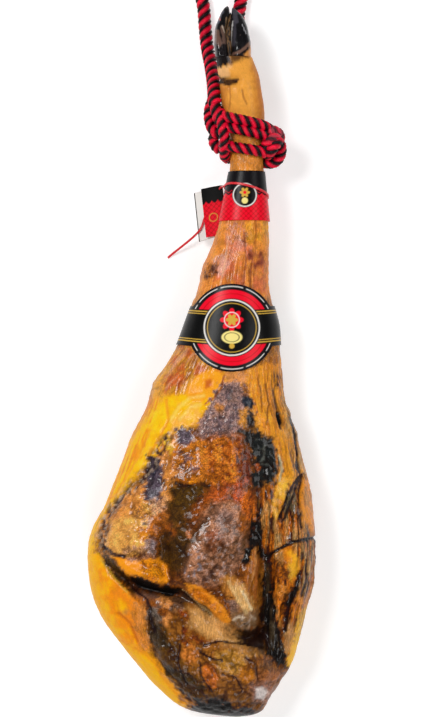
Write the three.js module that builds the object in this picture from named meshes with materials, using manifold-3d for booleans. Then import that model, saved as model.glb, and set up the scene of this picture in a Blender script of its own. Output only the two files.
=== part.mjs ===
// A whole air-cured ham on the bone, lying on its rind with the cut side up.
// It has a two-toed hoof, a rope tied round the shank with a free hanging loop, a neck band, a round
// label band, and a folded tag on a plastic seal strap.
// Millimetres, +Z up. +Y runs from the butt end to the hoof, +X is the viewer's right.
// The origin is on the table, under the middle of the ham's own box.

import * as THREE from "three";
import { mergeVertices } from "three/addons/utils/BufferGeometryUtils.js";
import Module from "manifold-3d";

const wasm = await Module();
wasm.setup();

// Driving dimensions
const FOOT_END_Y = 350; // where the skin of the foot stops and the horn starts
const BUTT_END = [40, -414.5, 54]; // the point of the round end of the butt
const NODE_GAP = 0.3; // between two pieces that touch
const ROPE_RADIUS = 8;
const ROPE_SIDES = 8;
const CARD = 0.8; // thickness of bands and tag
const TOP_ROUNDNESS = 2.3; // exponent of the section's upper half, 2 is an ellipse
const RIND_ROUNDNESS = 2.2; // exponent of its lower half
const HAM_SIDES = [38, 16]; // faces round the section, over the top and underneath

// Outline of the ham seen from above: [y, x] down each side
const LEFT_EDGE = [
  [350, 17], [322, 21], [297, 23], [274, 30], [232, 33], [202, 31], [160, 21], [132, 12], [107, 1],
  [86, -3], [53, -15], [16, -29], [-7, -42], [-28, -57], [-51, -63], [-88, -81], [-169, -113],
  [-193, -126], [-216, -132], [-237, -133], [-262, -130], [-295, -118], [-332, -92], [-364, -66],
  [-387, -44], [-401, -26], [-408, -8], [-412, 15], [-414, 33],
];
const RIGHT_EDGE = [
  [350, 59], [322, 68], [290, 73], [232, 72], [197, 74], [160, 78], [90, 78], [35, 90], [0, 92],
  [-46, 97], [-74, 108], [-111, 117], [-172, 130], [-211, 133], [-255, 131], [-292, 122], [-332, 112],
  [-348, 107], [-385, 84], [-401, 74], [-408, 69], [-412, 60], [-414, 47],
];
// Heights along the ham: [y, z] of the crown, of the widest line, and of the rind below
const CROWN = [
  [350, 82], [322, 84], [232, 78], [197, 79], [160, 83], [90, 90], [0, 99], [-100, 111], [-170, 114],
  [-230, 114], [-290, 110], [-340, 102], [-380, 88], [-401, 76], [-408, 69], [-412, 63], [-414, 58],
];
const WAIST = [[350, 62], [232, 58], [160, 58], [90, 56], [0, 50], [-100, 46], [-250, 46], [-401, 54]];
const RIND = [
  [350, 42], [290, 40], [232, 39], [197, 38.5], [160, 37], [120, 31], [90, 24], [35, 13], [0, 6], [-50, -2],
  [-120, -2.5], [-300, -2.5], [-350, 4], [-380, 14], [-401, 28], [-408, 36], [-412, 44], [-414, 50],
];

// Ridges and grooves of the cut side. Each runs along its points [x, y, height], and falls off
// sideways over its width. A negative height cuts in.
const RELIEF = {
  blade_slot: {
    width: 6,
    points: [
      [-118, -223, -3], [-98, -244, -8], [-82, -255, -16], [-62, -262, -19], [-45, -266, -19],
      [-27, -269, -15], [-9, -277, -9], [13, -292, -7], [31, -307, -6],
    ],
  },
  slot_lip: {
    width: 9,
    points: [
      [-104, -224, 3], [-83, -239, 6], [-62, -247, 7], [-44, -253, 6], [-30, -256, 3],
    ],
  },
  fat_seam: {
    width: 6,
    points: [
      [-81, -258, -5], [-61, -281, -6], [-54, -299, -5], [-57, -325, -4], [-42, -354, -3],
    ],
  },
  deep_channel: {
    width: 11,
    points: [
      [66, -128, -3], [64, -162, -6], [61, -191, -9], [69, -218, -15], [73, -249, -19],
      [74, -283, -19], [71, -304, -18], [78, -328, -15], [86, -348, -10], [92, -364, -5],
    ],
  },
  wedge_ridge: { width: 7, points: [[63, -215, 3], [61, -234, 6], [56, -253, 5]] },
  bone_hollow: { width: 7, points: [[28, -299, -5], [38, -312, -11], [52, -318, -14], [66, -313, -12]] },
  pad_valley: {
    width: 9,
    points: [
      [-27, -146, -3], [-39, -174, -6], [-44, -203, -9], [-41, -232, -10], [-38, -253, -8],
    ],
  },
  pad_valley_right: { width: 6, points: [[56, -198, -5], [48, -225, -6], [42, -240, -3]] },
  pad_edge: { width: 6, points: [[-30, -260, -5], [-13, -264, -8], [5, -267, -9], [21, -261, -6]] },
  fold_ridge: { width: 7, points: [[-17, -267, 3], [3, -275, 6], [17, -289, 7], [31, -300, 4]] },
  hip_bone: { width: 12, points: [[35, -253, 3], [45, -269, 8], [52, -285, 12], [48, -303, 12]] },
  rim_ridge: {
    width: 14,
    points: [
      [95, -104, 2], [106, -151, 6], [114, -197, 8], [115, -244, 8], [110, -290, 6], [104, -332, 4],
    ],
  },
  rim_groove_inner: {
    width: 5,
    points: [
      [114, -137, -4], [106, -162, -6], [100, -186, -6], [96, -209, -3],
    ],
  },
  rim_groove_low: {
    width: 6,
    points: [
      [114, -234, -4], [104, -255, -7], [98, -278, -8], [92, -302, -8], [94, -330, -5],
    ],
  },
  edge_groove: { width: 6, points: [[88, -37, -2], [92, -67, -6], [103, -88, -3], [113, -118, -4]] },
  muscle_pad: { width: 40, points: [[5, -168, 7], [12, -203, 12], [4, -238, 11]] },
  flank_lump: { width: 20, points: [[-100, -203, 4], [-83, -209, 6], [-62, -218, 5]] },
  butt_mass: { width: 38, points: [[-25, -342, 4], [10, -354, 9], [45, -358, 9]] },
  butt_lip: { width: 14, points: [[-57, -292, 3], [-39, -342, 5], [-2, -383, 4]] },
  butt_nub: { width: 9, points: [[66, -378, 5], [73, -386, 5]] },
  toe_slit: { width: 5, points: [[18, 327, -6], [30, 324, -8], [42, 322, -4]] },
  shin_tendon: { width: 9, points: [[45, 153, 1], [53, 118, 3], [56, 96, 1]] },
  cheek_valley: { width: 14, points: [[45, -46, -1], [56, -81, -4], [63, -116, -4]] },
};
const RELIEF_FADE = 0.45; // the relief is whole where the section rises above this share of its height

// Rope round the shank: the y where each turn crosses the left side, and the right side
const TURN_LEFT_Y = [285, 273.5, 249.5];
const TURN_RIGHT_Y = [264, 253.5, 235.5];
const TURN_STEPS = 16;
const TURN_RADIUS = 6.5; // pulled tight, the rope is thinner round the shank than where it hangs
const TURN_CLEARANCE = 1.1;
// Rope of the two knots beside the shank, [x, y, z] along each bight
const KNOT_ROUTES = {
  loop_root: [[15, 296, 70], [16.5, 289, 73], [18, 282, 73], [21, 275, 68], [24, 269, 60]],
  outer_bight: [
    [14, 306, 54], [8.5, 300, 57], [4.5, 291, 58], [3.5, 281, 58], [6, 271, 60], [12, 264, 63],
    [20, 261, 62],
  ],
  front_bar: [
    [22, 290, 62], [21.5, 280, 78], [21.5, 268, 83], [22, 256, 83], [23, 246, 79], [24, 238, 68],
    [27, 236, 50], [38, 237, 34],
  ],
  low_lobe: [[20, 263, 60], [12.5, 259, 58], [12, 254, 56], [15, 248, 54], [22, 243, 52]],
  upper_turn: [[76, 266, 76], [84, 264, 76], [90, 260, 70], [89, 253, 63], [80, 250, 58]],
  inner_tie: [[71, 243, 72], [77, 250, 81], [84, 256, 80], [90, 258, 70]],
  middle_tie: [[76, 236, 76], [82, 243, 83], [87, 250, 80], [90, 256, 70]],
  outer_bow: [
    [88, 254, 73], [92, 247, 69], [92, 239, 66], [88, 231, 64], [81, 228, 61], [74, 229, 56],
    [66, 231, 42],
  ],
};
const BIGHT_STEPS = 8;
const SOCKET_DEPTH = 0.6; // gap between the free loop's end and the bottom of its socket
// Free hanging loop: up beside the foot, down onto the table, round, and back under the foot
const FREE_LOOP = [
  [15, 293, 72], [12.5, 306, 62], [10.5, 322, 46], [8, 346, 25], [6, 369, 11.5], [4, 394, 8.4],
  [2, 418, 8.4], [-4, 443, 8.4], [-10, 468, 8.4], [-7, 494, 8.4], [8, 510, 8.4], [28, 513, 8.4],
  [46, 501, 8.4], [54, 478, 8.4], [52, 450, 8.4], [46, 422, 8.4], [42, 394, 8.4], [42, 362, 8.4],
  [44, 332, 11], [46, 308, 18.5], [46, 292, 24], [45, 281, 28],
];
const FREE_LOOP_STEPS = 44;

// Horn of the two toes: [y, left x, right x, low z, high z] from the skin to the tip
const TOES = {
  claw_left: [
    [350, 15.5, 33, 42, 80], [366, 14.5, 31, 42, 78], [382, 15.5, 28.5, 44, 74],
    [394, 18.6, 31, 47, 69], [404, 23.5, 33, 51, 64], [409, 27, 32, 54, 60],
  ],
  claw_right: [
    [350, 34, 58.5, 41, 81], [366, 33.5, 58, 41, 79], [382, 32.8, 55, 43, 74],
    [394, 33.4, 51, 46, 68], [402, 34.3, 45.5, 50, 63], [407, 35, 40, 53, 59],
  ],
};
const TOE_SIDES = 16;
const TOE_TIP = { claw_left: [30, 411, 57], claw_right: [36.3, 409.5, 56] };

// Bands
const NECK_BAND_Y = [161, 218];
const NECK_SIDES = [20, 12];
const NECK_CLEARANCE = 0.8;
const LABEL_CENTRE = [35, 37];
const LABEL_RADIUS = 50;
const LABEL_SIDES = [36, 12];
const LABEL_ROWS = 4;
const LABEL_CLEARANCE = 0.9;
const STRAP_HALF_HEIGHT = 23;
const STRAP_RISE = 4; // the strap climbs this much from the label's middle to the sides
const STRAP_RISE_REACH = 60;

// Folded tag: its top corner on the fold, and the directions across and down a leaf
const TAG_CORNER = new THREE.Vector3(25, 205.5, 18);
const TAG_ACROSS = new THREE.Vector3(-0.88, -0.22, -0.42).normalize();
const TAG_OUT = new THREE.Vector3(-0.46, 0.21, 0.86).projectOnPlane(TAG_ACROSS).normalize();
const TAG_HEIGHT = 61;
const BACK_LEAF = 38.5;
const FRONT_LEAF = 29;
const FOLD_DEPTH = 0.6; // from the fold's outer face to where the leaves part
const LEAF_OPENING = THREE.MathUtils.degToRad(13);

// Plastic seal strap: a ring over the neck band, and a tail that runs through the tag
const SEAL_WIDTH = 2.4;
const SEAL_THICK = 1.2;
const SEAL_RING_Y = 195.5;
const SEAL_RING_TILT = 6; // y change of the tilted ring, across and front to back
const SEAL_THROUGH_TAG = [[15, -8, 3], [16, 0, 2.5], [20, 16, 2.9], [26, 33, 3.6], [34, 48, 3.9]];
const SEAL_TAIL_TIP = [-40, 121, 1.4];
const SEAL_TAIL_STEPS = 24;

// Cubic through [y, value] rows ordered from high y to low, with no overshoot between them.
function profile(rows) {
  const points = [...rows].reverse();
  const slopes = points.slice(1).map(([y, v], i) => (v - points[i][1]) / (y - points[i][0]));
  const tangents = points.map((_, i) => {
    if (i === 0) return slopes[0];
    if (i === slopes.length) return slopes[i - 1];
    const product = slopes[i - 1] * slopes[i];
    return product <= 0 ? 0 : (2 * product) / (slopes[i - 1] + slopes[i]);
  });
  return (y) => {
    const at = Math.min(Math.max(y, points[0][0]), points.at(-1)[0]);
    let i = 0;
    while (i < slopes.length - 1 && at > points[i + 1][0]) i += 1;
    const span = points[i + 1][0] - points[i][0];
    const t = (at - points[i][0]) / span;
    const s = 1 - t;
    return (
      points[i][1] * s * s * (1 + 2 * t) +
      points[i + 1][1] * t * t * (1 + 2 * s) +
      span * t * s * (tangents[i] * s - tangents[i + 1] * t)
    );
  };
}

const leftEdge = profile(LEFT_EDGE);
const rightEdge = profile(RIGHT_EDGE);
const crown = profile(CROWN);
const waist = profile(WAIST);
const rind = profile(RIND);

// Height of one ridge or groove above a point: the height at the nearest place along it, times a
// bell curve of the distance from it.
function strokeHeight({ width, points }, x, y) {
  let nearest = Infinity;
  let height = 0;
  for (let i = 0; i < points.length - 1; i += 1) {
    const [ax, ay, ah] = points[i];
    const [bx, by, bh] = points[i + 1];
    const dx = bx - ax;
    const dy = by - ay;
    const t = Math.min(1, Math.max(0, ((x - ax) * dx + (y - ay) * dy) / (dx * dx + dy * dy)));
    const distance = Math.hypot(x - ax - t * dx, y - ay - t * dy);
    if (distance < nearest) {
      nearest = distance;
      height = ah + t * (bh - ah);
    }
  }
  return height * Math.exp(-((nearest / width) ** 2));
}

function reliefHeight(x, y) {
  return Object.values(RELIEF).reduce((sum, stroke) => sum + strokeHeight(stroke, x, y), 0);
}

// A point of the ham's skin at y and angle, from +X over the top, grown outwards by an offset.
// The section is the curve |x|^n + |z|^n = 1, stretched to the ham's width and heights.
function skinPoint(y, angle, offset, withRelief) {
  const middle = (leftEdge(y) + rightEdge(y)) / 2;
  const half = (rightEdge(y) - leftEdge(y)) / 2;
  const widest = waist(y);
  const across = Math.cos(angle);
  const up = Math.sin(angle) >= 0;
  const n = up ? TOP_ROUNDNESS : RIND_ROUNDNESS;
  const rise = (1 - Math.abs(across) ** n) ** (1 / n);
  const x = middle + (half + offset) * across;
  if (!up) return [x, y, Math.max(0, widest - (widest - rind(y) + offset) * rise)];
  const share = Math.min(1, rise / RELIEF_FADE);
  const relief = withRelief ? reliefHeight(x, y) * share * share * (3 - 2 * share) : 0;
  return [x, y, widest + (crown(y) - widest + offset) * rise + relief];
}

// Angles round a section, close together over the top and further apart underneath.
function sectionAngles(overTop, underneath) {
  const top = Array.from({ length: overTop }, (_, i) => (Math.PI * i) / overTop);
  const low = Array.from({ length: underneath }, (_, i) => Math.PI * (1 + i / underneath));
  return [...top, ...low];
}

// A closed skin through rings of points that all turn the same way, with a point at each end.
function closedLoft(rings, firstEnd, lastEnd) {
  const count = rings[0].length;
  const positions = [...rings.flat(), firstEnd, lastEnd].flat();
  const first = rings.length * count;
  const faces = [];
  for (let j = 0; j < count; j += 1) {
    const next = (j + 1) % count;
    faces.push(first, next, j);
    for (let i = 0; i < rings.length - 1; i += 1) {
      const a = i * count + j;
      const b = i * count + next;
      faces.push(a, b, a + count, b, b + count, a + count);
    }
    const base = (rings.length - 1) * count;
    faces.push(first + 1, base + j, base + next);
  }
  const geometry = new THREE.BufferGeometry();
  geometry.setAttribute("position", new THREE.Float32BufferAttribute(positions, 3));
  geometry.setIndex(faces);
  return geometry;
}

function mean(points) {
  return [0, 1, 2].map((k) => points.reduce((sum, p) => sum + p[k], 0) / points.length);
}

// Stations along the ham: close together at the toe slit, on the cut side and round the butt's end.
function stations() {
  const evenly = (from, to, steps) =>
    Array.from({ length: steps }, (_, i) => from + ((to - from) * i) / steps);
  const foot = [FOOT_END_Y, 340, 331, 325, 319, 311];
  const butt = [-400, -408, -412, -414];
  return [...foot, ...evenly(300, 60, 14), ...evenly(60, -100, 13), ...evenly(-100, -400, 34), ...butt];
}

function hamGeometry() {
  const angles = sectionAngles(...HAM_SIDES);
  const rings = stations().map((y) => angles.map((angle) => skinPoint(y, angle, 0, true)));
  return closedLoft(rings, mean(rings[0]), BUTT_END);
}

// Horn of one toe: oval rings from the flat base at the skin to the tip.
function clawGeometry(rows, tip) {
  const rings = rows.map(([y, left, right, low, high], i) =>
    Array.from({ length: TOE_SIDES }, (_, j) => {
      const angle = (2 * Math.PI * j) / TOE_SIDES;
      const x = (left + right) / 2 + ((right - left) / 2) * Math.cos(angle);
      const z = (low + high) / 2 + ((high - low) / 2) * Math.sin(angle);
      return [x, i === 0 ? y + NODE_GAP : y, z];
    }),
  );
  rings.reverse();
  return closedLoft(rings, tip, mean(rings.at(-1)));
}

// A tube along a smooth curve through points.
function tubeAlong(points, radius, steps) {
  const path = new THREE.CatmullRomCurve3(points.map((p) => new THREE.Vector3(...p)));
  const circle = new THREE.Shape(
    Array.from({ length: ROPE_SIDES }, (_, i) => {
      const angle = (2 * Math.PI * i) / ROPE_SIDES;
      return new THREE.Vector2(radius * Math.cos(angle), radius * Math.sin(angle));
    }),
  );
  return new THREE.ExtrudeGeometry(circle, { steps, extrudePath: path, bevelEnabled: false });
}

// The turns round the shank: a helix that falls from left to right over the top, and back below.
function turnRoute() {
  const points = [];
  TURN_LEFT_Y.forEach((leftY, k) => {
    const nextLeft = TURN_LEFT_Y[k + 1] ?? TURN_RIGHT_Y[k];
    for (let i = 0; i < TURN_STEPS; i += 1) {
      const half = TURN_STEPS / 2;
      const front = i < half;
      const share = (front ? i : i - half) / half;
      const [from, to] = front ? [leftY, TURN_RIGHT_Y[k]] : [TURN_RIGHT_Y[k], nextLeft];
      const y = from + (to - from) * share;
      const angle = Math.PI - (2 * Math.PI * i) / TURN_STEPS;
      points.push(skinPoint(y, angle, TURN_RADIUS + TURN_CLEARANCE, false));
    }
  });
  return points;
}

// The shank alone, grown by a gap, to cut what is tied round it.
function grownShank(gap) {
  const angles = sectionAngles(HAM_SIDES[0] / 2, HAM_SIDES[1]);
  const ys = [330, 305, 280, 255, 230, 205];
  const rings = ys.map((y) => angles.map((angle) => skinPoint(y, angle, gap, false)));
  return closedLoft(rings, mean(rings[0]), mean(rings.at(-1)));
}

function solid(geometry) {
  const bare = geometry.clone();
  bare.deleteAttribute("normal");
  bare.deleteAttribute("uv");
  const merged = mergeVertices(bare, 1e-4);
  return new wasm.Manifold(
    new wasm.Mesh({
      numProp: 3,
      vertProperties: new Float32Array(merged.attributes.position.array),
      triVerts: new Uint32Array(merged.index.array),
    }),
  );
}

// The largest skin of a solid, so that pockets sealed between crossing bights are filled.
function outerSkin(manifold) {
  const skins = manifold.decompose();
  return skins.reduce((largest, skin) => (skin.volume() > largest.volume() ? skin : largest));
}

function geometryOf(manifold) {
  const { vertProperties, triVerts } = manifold.getMesh();
  const geometry = new THREE.BufferGeometry();
  geometry.setAttribute("position", new THREE.BufferAttribute(new Float32Array(vertProperties), 3));
  geometry.setIndex(new THREE.BufferAttribute(new Uint32Array(triVerts), 1));
  return geometry;
}

// The point a short way past the end of a route, on the line from the point before it.
function pastEnd(end, before, extra) {
  const [from, to] = [before, end].map((p) => new THREE.Vector3(...p));
  return to.clone().add(to.clone().sub(from).setLength(extra)).toArray();
}

// The free loop made longer at both ends and thicker all round, to cut the sockets that it sits in.
function socketGeometry() {
  const first = pastEnd(FREE_LOOP[0], FREE_LOOP[1], SOCKET_DEPTH);
  const last = pastEnd(FREE_LOOP.at(-1), FREE_LOOP.at(-2), SOCKET_DEPTH);
  return tubeAlong([first, ...FREE_LOOP, last], ROPE_RADIUS + NODE_GAP, FREE_LOOP_STEPS);
}

// Turns and knots are one length of rope. The free loop's two ends sit in sockets in it.
function ropeTurnsGeometry() {
  const turns = solid(tubeAlong(turnRoute(), TURN_RADIUS, TURN_STEPS * TURN_LEFT_Y.length));
  const bights = Object.values(KNOT_ROUTES).map((route) =>
    solid(tubeAlong(route, TURN_RADIUS, BIGHT_STEPS)),
  );
  const knots = bights.reduce((sum, bight) => sum.add(bight)).subtract(solid(grownShank(TURN_CLEARANCE)));
  return geometryOf(outerSkin(knots.add(turns).subtract(solid(socketGeometry()))));
}

// A closed band: at each angle a thin strip between two edges, its inner face near the skin.
function bandGeometry(angles, rows, place) {
  const strips = angles.map((angle) => {
    const outer = Array.from({ length: rows + 1 }, (_, i) => place(angle, i / rows, CARD));
    const inner = Array.from({ length: rows + 1 }, (_, i) => place(angle, 1 - i / rows, 0));
    return [...outer, ...inner];
  });
  const count = strips[0].length;
  const faces = [];
  strips.forEach((_, i) => {
    const next = (i + 1) % strips.length;
    for (let j = 0; j < count; j += 1) {
      const a = i * count + j;
      const b = next * count + j;
      const step = j === count - 1 ? 1 - count : 1;
      faces.push(a, b, a + step, b, b + step, a + step);
    }
  });
  const geometry = new THREE.BufferGeometry();
  geometry.setAttribute("position", new THREE.Float32BufferAttribute(strips.flat(2), 3));
  geometry.setIndex(faces);
  return geometry;
}

// A point of the neck band's straight cone, share 0 at its top edge and 1 at its bottom edge.
function neckPoint(angle, share, offset) {
  const [low, high] = NECK_BAND_Y;
  const [top, bottom] = [high, low].map((y) => skinPoint(y, angle, NECK_CLEARANCE + offset, false));
  return top.map((v, k) => v + (bottom[k] - v) * share);
}

// Edges of the label band at an angle: the round label in front, the strap round the sides and back.
function labelEdges(angle) {
  const [x] = skinPoint(LABEL_CENTRE[1], angle, 0, false);
  const away = x - LABEL_CENTRE[0];
  const inFront = Math.sin(angle) > 0;
  const middle = LABEL_CENTRE[1] + STRAP_RISE * Math.min(1, (away / STRAP_RISE_REACH) ** 2);
  const round = inFront ? Math.sqrt(Math.max(0, LABEL_RADIUS ** 2 - away ** 2)) : 0;
  return [
    Math.max(middle + STRAP_HALF_HEIGHT, LABEL_CENTRE[1] + round),
    Math.min(middle - STRAP_HALF_HEIGHT, LABEL_CENTRE[1] - round),
  ];
}

function labelPoint(angle, share, offset) {
  const [high, low] = labelEdges(angle);
  return skinPoint(high + (low - high) * share, angle, LABEL_CLEARANCE + offset, false);
}

// A folded card: two leaves from one fold, the front one narrower and a little open.
function tagGeometry() {
  const inner = [FOLD_DEPTH, CARD];
  const along = [Math.cos(LEAF_OPENING), Math.sin(LEAF_OPENING)];
  const frontInner = [inner[0] + FRONT_LEAF * along[0], inner[1] + FRONT_LEAF * along[1]];
  const frontOuter = [frontInner[0] - CARD * along[1], frontInner[1] + CARD * along[0]];
  const outline = [[0, 0], [BACK_LEAF, 0], [BACK_LEAF, CARD], inner, frontInner, frontOuter, [0, 2 * CARD]];
  const shape = new THREE.Shape(outline.map(([u, w]) => new THREE.Vector2(u, w)));
  const geometry = new THREE.ExtrudeGeometry(shape, { depth: TAG_HEIGHT, bevelEnabled: false });
  geometry.translate(0, 0, -TAG_HEIGHT);
  const up = new THREE.Vector3().crossVectors(TAG_ACROSS, TAG_OUT);
  geometry.applyMatrix4(new THREE.Matrix4().makeBasis(TAG_ACROSS, TAG_OUT, up).setPosition(TAG_CORNER));
  return geometry;
}

// A point in the tag's own directions: across the leaf, down it, and out from it.
function onTag(across, down, out) {
  return TAG_CORNER.clone()
    .addScaledVector(TAG_ACROSS, across)
    .addScaledVector(new THREE.Vector3().crossVectors(TAG_OUT, TAG_ACROSS), down)
    .addScaledVector(TAG_OUT, out)
    .toArray();
}

// The strap's ring lies tilted over the neck band, its inner face a gap above the card.
function sealRingPoint(angle, along, offset) {
  const [low, high] = NECK_BAND_Y;
  const y = SEAL_RING_Y - SEAL_RING_TILT * Math.cos(angle) + SEAL_RING_TILT * Math.sin(angle) + along;
  return neckPoint(angle, (high - y) / (high - low), CARD + NODE_GAP + offset);
}

function sealStrapGeometry() {
  const ring = bandGeometry(sectionAngles(...NECK_SIDES), 1, (angle, share, offset) =>
    sealRingPoint(angle, (0.5 - share) * SEAL_WIDTH, (offset / CARD) * SEAL_THICK),
  );
  const start = sealRingPoint(Math.PI, 0, SEAL_THICK);
  const route = [start, ...SEAL_THROUGH_TAG.map((at) => onTag(...at)), SEAL_TAIL_TIP];
  return geometryOf(solid(ring).add(solid(stripAlong(route))));
}

// A flat strip along points, its wide face turned out from the tag.
function stripAlong(points) {
  const path = new THREE.CatmullRomCurve3(points.map((p) => new THREE.Vector3(...p)));
  const corners = [[1, -1], [1, 1], [-1, 1], [-1, -1]];
  const rings = Array.from({ length: SEAL_TAIL_STEPS + 1 }, (_, i) => {
    const centre = path.getPointAt(i / SEAL_TAIL_STEPS);
    const tangent = path.getTangentAt(i / SEAL_TAIL_STEPS);
    const out = TAG_OUT.clone().projectOnPlane(tangent).normalize();
    const side = new THREE.Vector3().crossVectors(out, tangent);
    return corners.map(([a, b]) => {
      const corner = centre.clone().addScaledVector(side, (a * SEAL_WIDTH) / 2);
      return corner.addScaledVector(out, (b * SEAL_THICK) / 2).toArray();
    });
  });
  return closedLoft(rings, mean(rings[0]), mean(rings.at(-1)));
}

const MATERIALS = {
  cured_meat: new THREE.MeshStandardMaterial({ color: 0xc27a2c, roughness: 0.45 }),
  horn: new THREE.MeshStandardMaterial({ color: 0x1d1a1c, roughness: 0.3 }),
  rope: new THREE.MeshStandardMaterial({ color: 0xa01228, roughness: 0.6 }),
  card: new THREE.MeshStandardMaterial({ color: 0x18161a, roughness: 0.4 }),
  tag_card: new THREE.MeshStandardMaterial({ color: 0xb8132a, roughness: 0.4 }),
  seal_plastic: new THREE.MeshStandardMaterial({ color: 0xd02a38, roughness: 0.35 }),
};

function piece(name, geometry, material) {
  const facets = geometry.index ? geometry.toNonIndexed() : geometry;
  facets.computeVertexNormals();
  const mesh = new THREE.Mesh(facets, MATERIALS[material]);
  mesh.name = name;
  return mesh;
}

const ham = new THREE.Group();
ham.add(piece("ham", hamGeometry(), "cured_meat"));
for (const [name, rows] of Object.entries(TOES)) {
  ham.add(piece(name, clawGeometry(rows, TOE_TIP[name]), "horn"));
}
ham.add(piece("rope_turns", ropeTurnsGeometry(), "rope"));
ham.add(piece("rope_loop", tubeAlong(FREE_LOOP, ROPE_RADIUS, FREE_LOOP_STEPS), "rope"));
ham.add(piece("neck_band", bandGeometry(sectionAngles(...NECK_SIDES), 1, neckPoint), "card"));
ham.add(piece("label_band", bandGeometry(sectionAngles(...LABEL_SIDES), LABEL_ROWS, labelPoint), "card"));
ham.add(piece("tag", tagGeometry(), "tag_card"));
ham.add(piece("seal_strap", sealStrapGeometry(), "seal_plastic"));

export default ham;
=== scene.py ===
import bpy
import numpy as np
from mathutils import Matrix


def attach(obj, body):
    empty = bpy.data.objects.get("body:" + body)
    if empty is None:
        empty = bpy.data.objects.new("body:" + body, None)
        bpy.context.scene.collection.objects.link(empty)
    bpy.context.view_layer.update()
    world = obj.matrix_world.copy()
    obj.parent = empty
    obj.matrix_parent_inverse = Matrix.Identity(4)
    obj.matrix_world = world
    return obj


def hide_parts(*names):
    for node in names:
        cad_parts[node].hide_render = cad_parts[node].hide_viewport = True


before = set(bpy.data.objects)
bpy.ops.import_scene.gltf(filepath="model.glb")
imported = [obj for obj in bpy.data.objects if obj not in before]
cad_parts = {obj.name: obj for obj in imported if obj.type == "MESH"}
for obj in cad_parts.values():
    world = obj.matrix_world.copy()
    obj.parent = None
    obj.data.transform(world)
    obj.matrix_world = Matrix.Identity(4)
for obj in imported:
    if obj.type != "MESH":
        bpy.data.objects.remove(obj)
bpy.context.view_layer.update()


# Camera
# A long lens straight above the ham, which lies cut side up with its hoof at the top of the picture.
# It stands 2.86 m over the table.
CAMERA_PLACE = (0.0157, 0.0017, 2.86)
LENS_MM = 121.2
SENSOR_MM = 36.0
SIGHT_END_M = 50.0
camera_data = bpy.data.cameras.new("camera")
camera_data.lens = LENS_MM
camera_data.sensor_width = SENSOR_MM
camera_data.sensor_height = SENSOR_MM
camera_data.clip_end = SIGHT_END_M
camera = bpy.data.objects.new("camera", camera_data)
camera.location = CAMERA_PLACE
bpy.context.scene.collection.objects.link(camera)
bpy.context.scene.camera = camera

# Rope: hanging loop, turns round the shank and knots
# A four-strand laid rope of shiny yarn, two strands red and two black in turn. The hanging loop is
# 16 mm thick, and the same rope is pulled down to about 13 mm where it is tied round the shank.
MM = 0.001
ROPE_COLUMNS = 48
ROPE_RING_GAP = 1.9  # between two rings of the mesh
LOOP_DIAMETER = 16.2
TIED_DIAMETER = 13.2
LOOP_LAY = 25.5  # length of one whole turn of the strands
TIED_LAY = 21.0
STRAND_VALLEY = 0.70  # the line between two strands lies at this share of the radius
STRAND_ROUNDNESS = 0.6  # exponent of a strand's rise across it
ROPE_END_REACH = 0.3  # each end narrows to half its width within this share of the diameter
ROPE_RED = (252, 12, 56)
ROPE_BLACK = (14, 11, 14)
ROPE_RED_SHARE = 0.67
ROPE_PINK = (214, 96, 112)
VALLEY_SHADE, CREST_HIGHLIGHT, CREST_EDGE = 0.10, 1.12, 1.8  # painted light on a strand's colour is V + C h^E at its height h: painted shade in the valleys, a painted highlight on the crest
FREE_LOOP = [
    (15.8, 293, 72), (14.8, 306, 62), (13.9, 322, 46), (10.8, 346, 25), (6.6, 369, 11.5), (4, 394, 8.4),
    (2, 418, 8.4), (-4, 443, 8.4), (-10, 468, 8.4), (-7, 494, 8.4), (8, 510, 8.4), (28, 513, 8.4),
    (46, 501, 8.4), (54, 478, 8.4), (52, 450, 8.4), (46, 422, 8.4), (42, 394, 8.4), (42, 362, 8.4),
    (44, 332, 11), (46, 308, 18.5), (46, 292, 24), (45, 281, 28), (44, 272, 31),
]
TURN_LEFT_Y = (285, 273.5, 249.5)  # where each turn crosses the left side of the shank
TURN_RIGHT_Y = (264, 253.5, 235.5)
TURN_STEPS = 16
TURN_STAND_OFF = 7.6  # from the skin to the middle of the rope
KNOT_ROUTES = {
    "loop_root": [(15, 296, 70), (16.5, 289, 73), (18, 282, 73), (21, 275, 68), (24, 269, 60)],
    "outer_bight": [(15, 306, 54), (12, 300, 57), (9.2, 291, 58), (8.8, 281, 58), (11, 271, 60),
                    (15.4, 264, 63), (21, 261, 62)],
    "front_bar": [(22, 290, 62), (22.5, 280, 78), (24.6, 268, 83), (26.4, 256, 83), (26.6, 246, 79),
                  (27, 238, 68), (29, 236, 50), (38, 237, 34)],
    "low_lobe": [(20, 263, 60), (14.2, 259, 58), (14, 254, 56), (16.6, 248, 54), (23, 243, 52)],
    "upper_turn": [(76, 266, 76), (84, 264, 76), (90, 260, 70), (89, 253, 63), (80, 250, 58)],
    "inner_tie": [(71, 243, 72), (77, 250, 81), (84, 256, 80), (90, 258, 70)],
    "middle_tie": [(76, 236, 76), (82, 243, 83), (87, 250, 80), (90, 256, 70)],
    "outer_bow": [(88, 254, 73), (92, 247, 69), (92, 239, 66), (88, 231, 64), (81, 228, 61),
                  (74, 229, 56), (66, 231, 42)],
}
FRAYED_PLACE = (86, 262, 76, 12)  # its middle and reach
FRAYED_RUNS = ("upper_turn", "inner_tie")

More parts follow.
